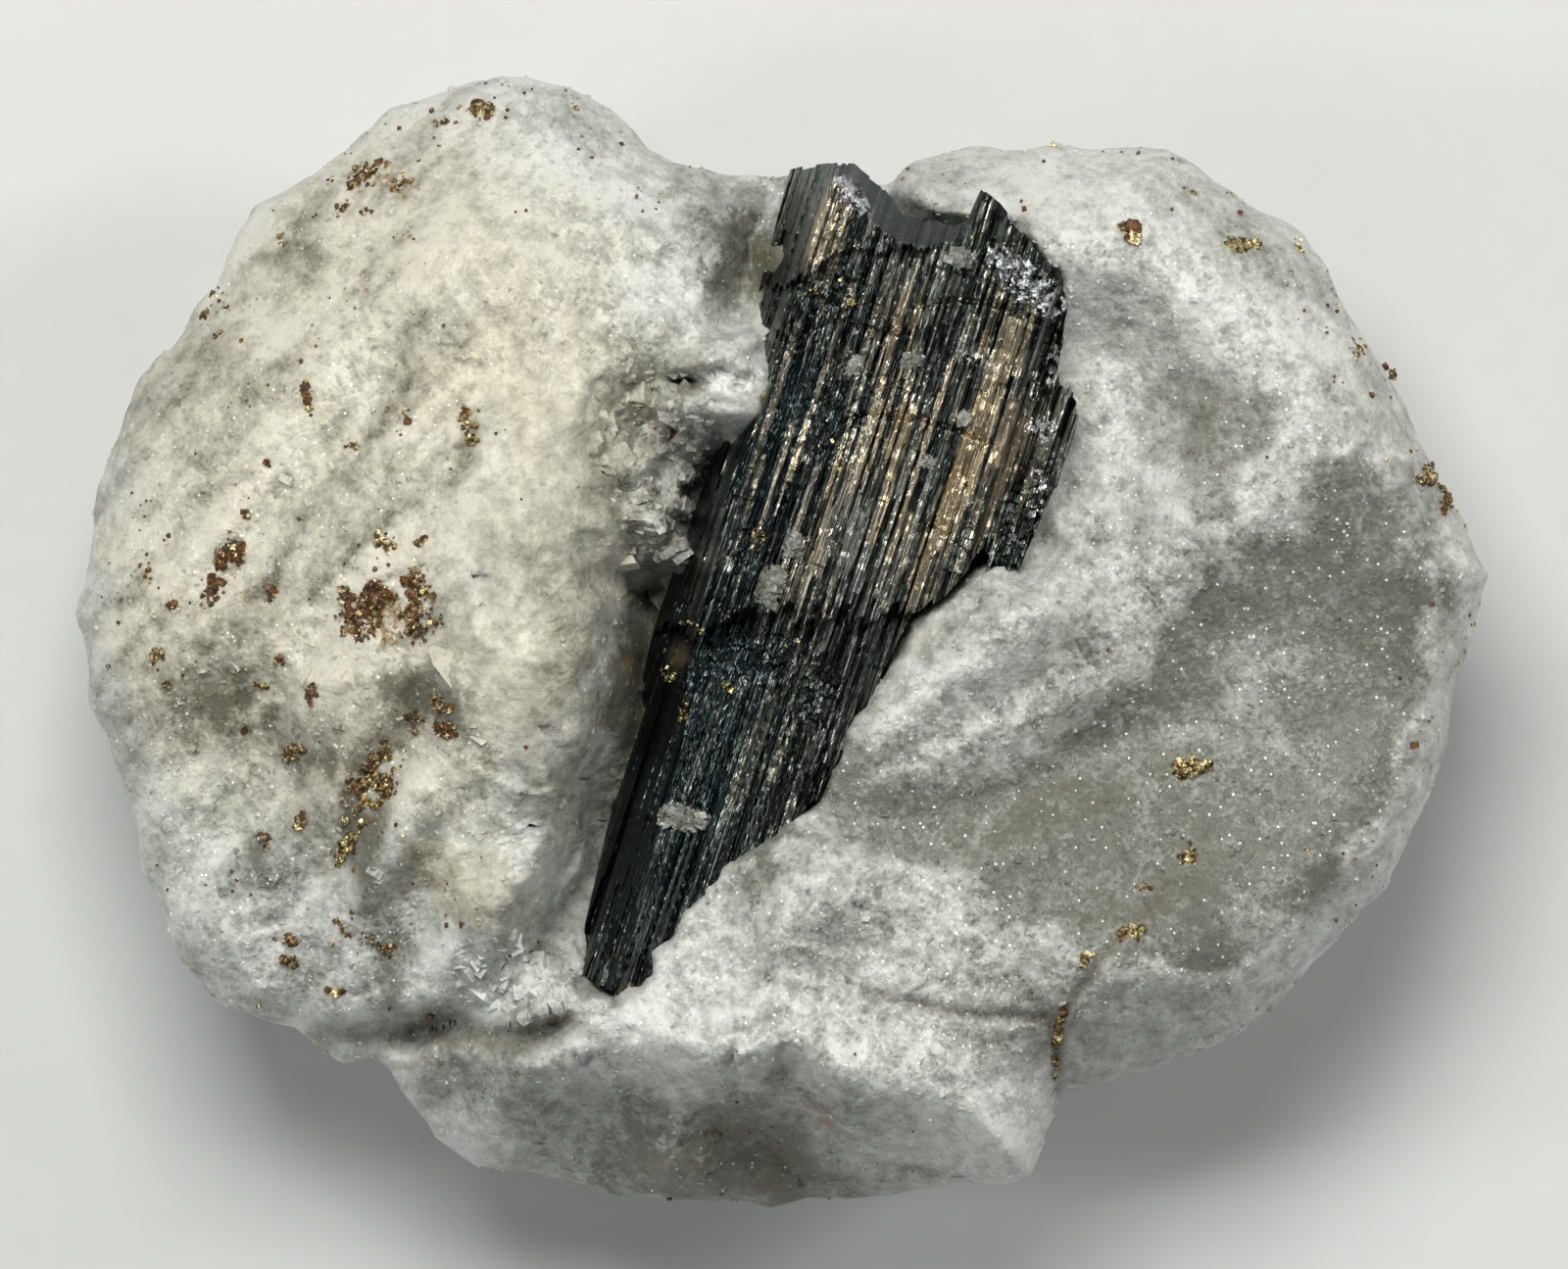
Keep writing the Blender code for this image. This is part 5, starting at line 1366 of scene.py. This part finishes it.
class RockSettings(bpy.types.PropertyGroup):
    """Colours and grains of the dolomite."""

    white: shade_property("White", "Clean dolomite", (0.655, 0.66, 0.62))
    grey: shade_property("Grey", "Translucent grey dolomite", (0.15, 0.152, 0.122))
    cream: shade_property("Cream", "Warm tint of the left mound", (1.0, 0.93, 0.775))
    # Colour of the painted glints on a few grains.
    painted_glint: shade_property("Sparkle", "Glinting grains", (0.95, 0.95, 0.93))
    # Colour of the dim hollows, partly painted shade.
    murk: shade_property("Murk", "Dim brownish hollows", (0.135, 0.127, 0.093))
    rust: shade_property("Rust", "Iron stain", (0.3, 0.2, 0.09))
    grain: bpy.props.FloatProperty(
        name="Grain size", description="Typical width of a sugar grain", default=0.14 * MM,
        unit="LENGTH", precision=5,
    )
    grains: bpy.props.IntProperty(
        name="Grains", description="Sugar grains in each piece", default=4000, min=100
    )


class CrystalSettings(bpy.types.PropertyGroup):
    """Colours of the rathite."""

    dark: shade_property("Dark", "Deep striations", (0.045, 0.053, 0.048))
    # Colour of the light streaks, which are partly painted highlight.
    steel: shade_property("Steel", "Lead-grey ridges", (0.44, 0.45, 0.41))
    bronze: shade_property("Bronze", "Warm ridges", (0.64, 0.56, 0.42))
    teal: shade_property("Teal", "Cool tarnish between the ridges", (0.05, 0.072, 0.076))
    # Colour of fresh breaks, set in random cells as painted glints.
    silver: shade_property("Silver", "Freshly broken surface", (0.7, 0.72, 0.73))
    facet: shade_property("Facet", "Smooth end face", (0.09, 0.1, 0.105))
    stain: shade_property("Stain", "Brown film at the foot", (0.3, 0.2, 0.07))


class PyriteSettings(bpy.types.PropertyGroup):
    """Colours of the pyrite."""

    brass: shade_property("Brass", "Bright pyrite", (0.85, 0.71, 0.38))
    dark_brass: shade_property("Dark brass", "Dull pyrite", (0.1, 0.09, 0.035))
    rust: shade_property("Rust", "Tarnished pyrite", (0.2, 0.08, 0.02))
    dark_rust: shade_property("Dark rust", "Deep tarnish", (0.04, 0.021, 0.009))
    specks: bpy.props.IntProperty(
        name="Specks", description="Tiny loose grains", default=420, min=10
    )


class StageSettings(bpy.types.PropertyGroup):
    """Floor, camera and light."""

    floor: shade_property("Floor", "Pale card", (0.62, 0.62, 0.61))
    lens: bpy.props.FloatProperty(
        name="Lens", description="Focal length", default=500.0, unit="CAMERA", max=2000
    )
    brightness: bpy.props.FloatProperty(
        name="Brightness", description="Strength of all the lights", default=1.0, subtype="FACTOR",
        min=0, soft_max=2,
    )


# Operators ----------------------------------------------------------------------------------------
class RATHITE_OT_dolomite(bpy.types.Operator):
    """The rock's whole surface: the solid's forms with fine lumps and small flat faces added"""

    bl_idname = "rathite.dolomite"
    bl_label = "Dolomite block"

    def execute(self, context):
        Ground.build()
        look = context.scene.rathite_rock
        vertices, faces = closed_sheet(Ground.points, 0.0)
        material = dolomite_finish("dolomite_body", look, 0.34)
        attributes = rock_attributes(vertices)
        upright = np.ones(len(vertices))
        upright[: Ground.normals[..., 2].size] = smooth(0.95, 0.4, Ground.normals[..., 2].ravel())
        attributes["sugar"] *= 1 - 0.65 * upright
        piece = make_piece("dolomite_surface", vertices, faces, material, attributes)
        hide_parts("dolomite_matrix")
        return {"FINISHED"}


class RATHITE_OT_sugar(bpy.types.Operator):
    """Sugar grains: small rhombs set at random over the rock, each turned its own way"""

    bl_idname = "rathite.sugar"
    bl_label = "Sugar grains"

    def execute(self, context):
        look = context.scene.rathite_rock
        material = dolomite_finish("dolomite_sugar", look, 0.0)
        x, y, _ = np.moveaxis(Ground.points, -1, 0)
        facing = Ground.normals[..., 2] > FACING_UP
        rough = 1 - 0.95 * crest_calm(x, y)
        west = smooth(-1.0, -4.0, x)
        # Each piece: how thickly the grains lie, and their share of the usual size.
        parts = {
            "sugar_left": (facing * west * rough, 0.62),
            "sugar_right": (facing * (1 - west), 0.6),
            "sugar_flanks": (~facing, 0.95),
        }
        for seed, (name, (weight, scale)) in enumerate(parts.items()):
            rng = np.random.default_rng(500 + seed)
            centres, normals = Ground.scatter(rng, look.grains, weight)
            sizes = varied(rng, look.grain / MM * scale, 0.3, look.grains)
            sizes = np.minimum(sizes, WIDEST_SUGAR)
            depth = (0.5 + 0.15 * (normals[:, 2] < 0.6)) * sizes
            centres = centres - normals * depth[:, None]
            vertices, faces = crystals(rng, centres, sizes, -0.25)
            jitter = np.repeat(0.12 * rng.normal(size=look.grains), CORNERS)
            attributes = rock_attributes(np.repeat(centres, CORNERS, axis=0), jitter)
            make_piece(name, vertices, faces, material, attributes, flat=True)
        return {"FINISHED"}


class RATHITE_OT_cleavage(bpy.types.Operator):
    """Cleaved blocks: a few large ones, and many small ones along the shelf and the trough"""

    bl_idname = "rathite.cleavage"
    bl_label = "Cleavage blocks"

    def execute(self, context):
        look = context.scene.rathite_rock
        material = dolomite_finish("dolomite_cleavage", look, 0.12)
        rng = np.random.default_rng(600)
        x, y, _ = np.moveaxis(Ground.points, -1, 0)
        weight = zone(x, y, CROWDED_BLOCKS) + 0.03 * zone(x, y, LOOSE_BLOCKS)
        small, normals = Ground.scatter(rng, SMALL_BLOCKS, weight * (Ground.normals[..., 2] > BLOCKS_UP))
        sizes = varied(rng, SMALL_BLOCK, 0.35, len(small))
        small = small - normals * (0.4 * sizes)[:, None]
        at_x, at_y, width, turn, lean = np.array(BLOCKS).T
        level = with_swellings(front(at_x, at_y) - 0.6 * width, at_x, at_y, SHELF_FORMS)
        centres = np.vstack([small, np.column_stack([at_x, at_y, level])])
        sizes = np.append(sizes, width)
        turns = np.concatenate([spins(rng, len(small)), leaning(turn, lean)])
        vertices, faces = crystals(rng, centres, sizes, -0.3, 0.3, turns)
        jitter = np.repeat(0.15 * rng.normal(size=len(centres)) - 0.25, CORNERS)
        attributes = rock_attributes(np.repeat(centres, CORNERS, axis=0), jitter)
        make_piece("cleavage_blocks", vertices, faces, material, attributes, flat=True)
        return {"FINISHED"}


class RATHITE_OT_crystal(bpy.types.Operator):
    """The striated crystal: laths and breaks over a sloping face, closed down into the rock"""

    bl_idname = "rathite.crystal"
    bl_label = "Rathite crystal"

    def execute(self, context):
        points, across, along, fresh, edge = crystal_points()
        vertices, faces = closed_sheet(points, CRYSTAL_FLOOR)
        attributes = crystal_attributes(across, along, fresh, edge)
        extra = len(vertices) - across.size
        attributes = {key: np.append(value, np.zeros(extra)) for key, value in attributes.items()}
        material = rathite_finish(context.scene.rathite_crystal)
        piece = make_piece("rathite_prism", vertices, faces, material, attributes, flat=True)
        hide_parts("rathite_crystal")
        return {"FINISHED"}


class RATHITE_OT_pyrite(bpy.types.Operator):
    """Pyrite clusters, each a crowd of small cubes, and tiny specks strewn along the beds"""

    bl_idname = "rathite.pyrite"
    bl_label = "Pyrite"

    def execute(self, context):
        look = context.scene.rathite_pyrite
        material = pyrite_finish(look)
        for seed, (name, place, size, turn, tarnish, grain) in enumerate(PYRITE):
            rng = np.random.default_rng(700 + seed)
            grain = 0.8 * grain
            count = int(10 + 1.3 * size[0] * size[1] / grain ** 2)
            x, y = speckled(rng, place, size, turn, count, 9)
            patchy = lumps(x, y, 0.45, 701 + seed) + 0.9 * lumps(x, y, 0.18, 721 + seed) > -0.15
            kept = patchy | (max(size) < 0.8)
            x, y = x[kept], y[kept]
            count = len(x)
            sizes = varied(rng, grain, 0.4, count)
            z = front(x, y) + 0.03 + 0.4 * grain * rng.normal(size=count)
            vertices, faces = crystals(rng, np.stack([x, y, z], axis=1), sizes, 0.0, 0.2)
            tints = {"tarnish": np.repeat(tarnish + 0.4 * rng.normal(size=count), CORNERS)}
            piece = make_piece(name + "_cubes", vertices, faces, material, tints, flat=True)
            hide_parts(name)
        self.strew(look, material)
        return {"FINISHED"}

    def strew(self, look, material):
        """Specks, thickest along the beds of the left mound and round the rim."""
        rng = np.random.default_rng(750)
        x, y, _ = np.moveaxis(Ground.points, -1, 0)
        veins = sum(np.exp(-(east_of(x, y, route) / 0.5) ** 2) for route, _, _ in VEINS)
        hollows = zone(x, y, GREY_ZONES) * smooth(-5.0, -6.5, x) * smooth(-8.2, -7.4, y)
        edge = smooth(1.8, 0.6, rim_distance(x, y)) * smooth(-2, 2, y + 0.5 * x)
        west = smooth(-4.0, -6.0, x)
        weight = 0.004 + 0.02 * west + 0.5 * veins * smooth(-5.0, -6.5, x) + 0.7 * hollows + 0.2 * edge
        weight = weight * (Ground.normals[..., 2] > BLOCKS_UP) * smooth(-0.3, 0.6, lumps(x, y, 0.5, 752))
        centres, _ = Ground.scatter(rng, look.specks, weight)
        sizes = varied(rng, SPECK, 0.4, look.specks)
        tints = rng.uniform(0, 1, look.specks)
        for place, size, turn, count, tarnish, grain in SCATTERS:
            x, y = speckled(rng, place, size, turn, count, 4)
            centres = np.vstack([centres, np.stack([x, y, front(x, y)], axis=1)])
            sizes = np.append(sizes, varied(rng, grain, 0.4, count))
            tints = np.append(tints, tarnish + 0.4 * rng.normal(size=count))
        centres[:, 2] += 0.02
        vertices, faces = crystals(rng, centres, sizes, 0.0, 0.25)
        tints = {"tarnish": np.repeat(tints, CORNERS)}
        make_piece("pyrite_specks", vertices, faces, material, tints, flat=True)


def speckled(rng, place, size, turn, count, knots):
    """Places strewn over a turned ellipse round a few knots."""
    reach = 0.42 * rng.uniform(0, 1, knots) ** 0.5
    heading = rng.uniform(0, 2 * np.pi, knots)
    knot = rng.integers(knots, size=count)
    u = size[0] * (reach * np.cos(heading))[knot] + size[0] * 0.13 * rng.normal(size=count)
    v = size[1] * (reach * np.sin(heading))[knot] + size[1] * 0.13 * rng.normal(size=count)
    return placed(u, v, turn, place)


def on_crystal(rng, heaps):
    """Places heaped on the crystal: each heap is its middle across and along, its spread and its count."""
    places = []
    for (across, along), (wide, long), count in heaps:
        at_across = across + 0.5 * wide * np.clip(rng.normal(size=count), -1.8, 1.8)
        at_along = along + 0.5 * long * np.clip(rng.normal(size=count), -1.8, 1.8)
        out = np.hypot((at_across - across) / wide, (at_along - along) / long)
        heap = 0.5 * min(wide, long) * np.sqrt(np.clip(1 - out, 0, 1))
        z = crystal_level(at_across, at_along) + heap - 0.05
        places.append(np.stack([*placed(at_across, at_along, CRYSTAL_TURN), z], axis=1))
    return np.vstack(places)


class RATHITE_OT_crumbs(bpy.types.Operator):
    """Dolomite crumbs and brassy specks left on the crystal"""

    bl_idname = "rathite.crumbs"
    bl_label = "Crumbs on the crystal"

    def execute(self, context):
        rng = np.random.default_rng(800)
        crumbs = on_crystal(rng, CRUMBS)
        vertices, faces = crystals(rng, crumbs, varied(rng, CRUMB, 0.3, len(crumbs)), -0.25)
        jitter = np.repeat(0.12 * rng.normal(size=len(crumbs)), CORNERS)
        none = 0 * jitter
        tints = dict.fromkeys(ROCK_LAYERS, none)
        tints.update(grey=0.85 + jitter, murk=0.15 + none, sugar=1 + none)
        material = bpy.data.materials["dolomite_sugar"]
        make_piece("crystal_crumbs", vertices, faces, material, tints, flat=True)
        specks = on_crystal(rng, BRASSY)
        vertices, faces = crystals(rng, specks, varied(rng, BRASSY_SPECK, 0.3, len(specks)), 0.0)
        tints = {"tarnish": np.repeat(rng.uniform(0, 0.5, len(specks)), CORNERS)}
        material = bpy.data.materials["pyrite_brass"]
        make_piece("crystal_pyrite", vertices, faces, material, tints, flat=True)
        return {"FINISHED"}


class RATHITE_OT_stage(bpy.types.Operator):
    """Pale floor, soft studio lights and a camera looking straight down"""

    bl_idname = "rathite.stage"
    bl_label = "Stage"

    def execute(self, context):
        look = context.scene.rathite_stage
        self.make_floor(context, look)
        self.make_camera(context, look)
        self.make_lights(context, look)
        return {"FINISHED"}

    def make_floor(self, context, look):
        """A wide flat square under the specimen."""
        far = FLOOR_REACH
        mesh = bpy.data.meshes.new("floor")
        corners = [(-far, -far, 0), (far, -far, 0), (far, far, 0), (-far, far, 0)]
        mesh.from_pydata(corners, [], [(0, 1, 2, 3)])
        mesh.materials.append(floor_finish(look))
        floor = bpy.data.objects.new("floor", mesh)
        context.scene.collection.objects.link(floor)

    def make_camera(self, context, look):
        """A camera straight above, as far off as its lens needs to see the frame's width at the rim."""
        camera = bpy.data.cameras.new("camera")
        camera.lens = look.lens
        camera.sensor_width = SENSOR_WIDTH
        camera.clip_end = 10.0
        holder = bpy.data.objects.new("camera", camera)
        holder.location = (0, FRAME_MIDDLE, RIM_HEIGHT + FRAME_WIDTH * look.lens / camera.sensor_width)
        context.scene.collection.objects.link(holder)
        context.scene.camera = holder

    def make_lights(self, context, look):
        """Soft lights aimed at the specimen, and a faint even sky."""
        for name, place, size, power, tint in LIGHTS:
            light = bpy.data.lights.new(name, "AREA")
            light.shape = "RECTANGLE"
            light.size, light.size_y = size
            light.energy = power * look.brightness
            light.color = tint
            holder = bpy.data.objects.new(name, light)
            holder.location = place
            aim = Vector(LIGHTS_AIM) - Vector(place)
            holder.rotation_euler = aim.to_track_quat("-Z", "Y").to_euler()
            context.scene.collection.objects.link(holder)
        world = bpy.data.worlds.new("studio")
        world.use_nodes = True
        background = world.node_tree.nodes["Background"]
        background.inputs["Color"].default_value = SKY
        background.inputs["Strength"].default_value = SKY_STRENGTH
        context.scene.world = world
        context.scene.view_settings.view_transform = "Standard"


class RATHITE_PT_panel(bpy.types.Panel):
    """Lists the specimen's settings and the operators that build it"""

    bl_idname = "RATHITE_PT_panel"
    bl_label = "Rathite specimen"
    bl_space_type = "VIEW_3D"
    bl_region_type = "UI"
    bl_category = "Rathite"

    def draw(self, context):
        """Every setting, then a button for each operator."""
        for group in GROUPS:
            settings = getattr(context.scene, group)
            column = self.layout.column(align=True)
            for key in settings.__annotations__:
                column.prop(settings, key)
        for operator in OPERATORS:
            self.layout.operator(operator.bl_idname)


GROUPS = {
    "rathite_rock": RockSettings,
    "rathite_crystal": CrystalSettings,
    "rathite_pyrite": PyriteSettings,
    "rathite_stage": StageSettings,
}
OPERATORS = [
    RATHITE_OT_dolomite,
    RATHITE_OT_sugar,
    RATHITE_OT_cleavage,
    RATHITE_OT_crystal,
    RATHITE_OT_pyrite,
    RATHITE_OT_crumbs,
    RATHITE_OT_stage,
]


def register():
    """Adds the classes, and each group of settings to the scene."""
    for kind in [*GROUPS.values(), *OPERATORS, RATHITE_PT_panel]:
        bpy.utils.register_class(kind)
    for name, kind in GROUPS.items():
        setattr(bpy.types.Scene, name, bpy.props.PointerProperty(type=kind))


def unregister():
    """Takes them away again."""
    for name in GROUPS:
        delattr(bpy.types.Scene, name)
    for kind in reversed([*GROUPS.values(), *OPERATORS, RATHITE_PT_panel]):
        bpy.utils.unregister_class(kind)


def main():
    """Builds the specimen piece by piece."""
    register()
    for operator in OPERATORS:
        group, name = operator.bl_idname.split(".")
        getattr(getattr(bpy.ops, group), name)()


if __name__ == "__main__":
    main()
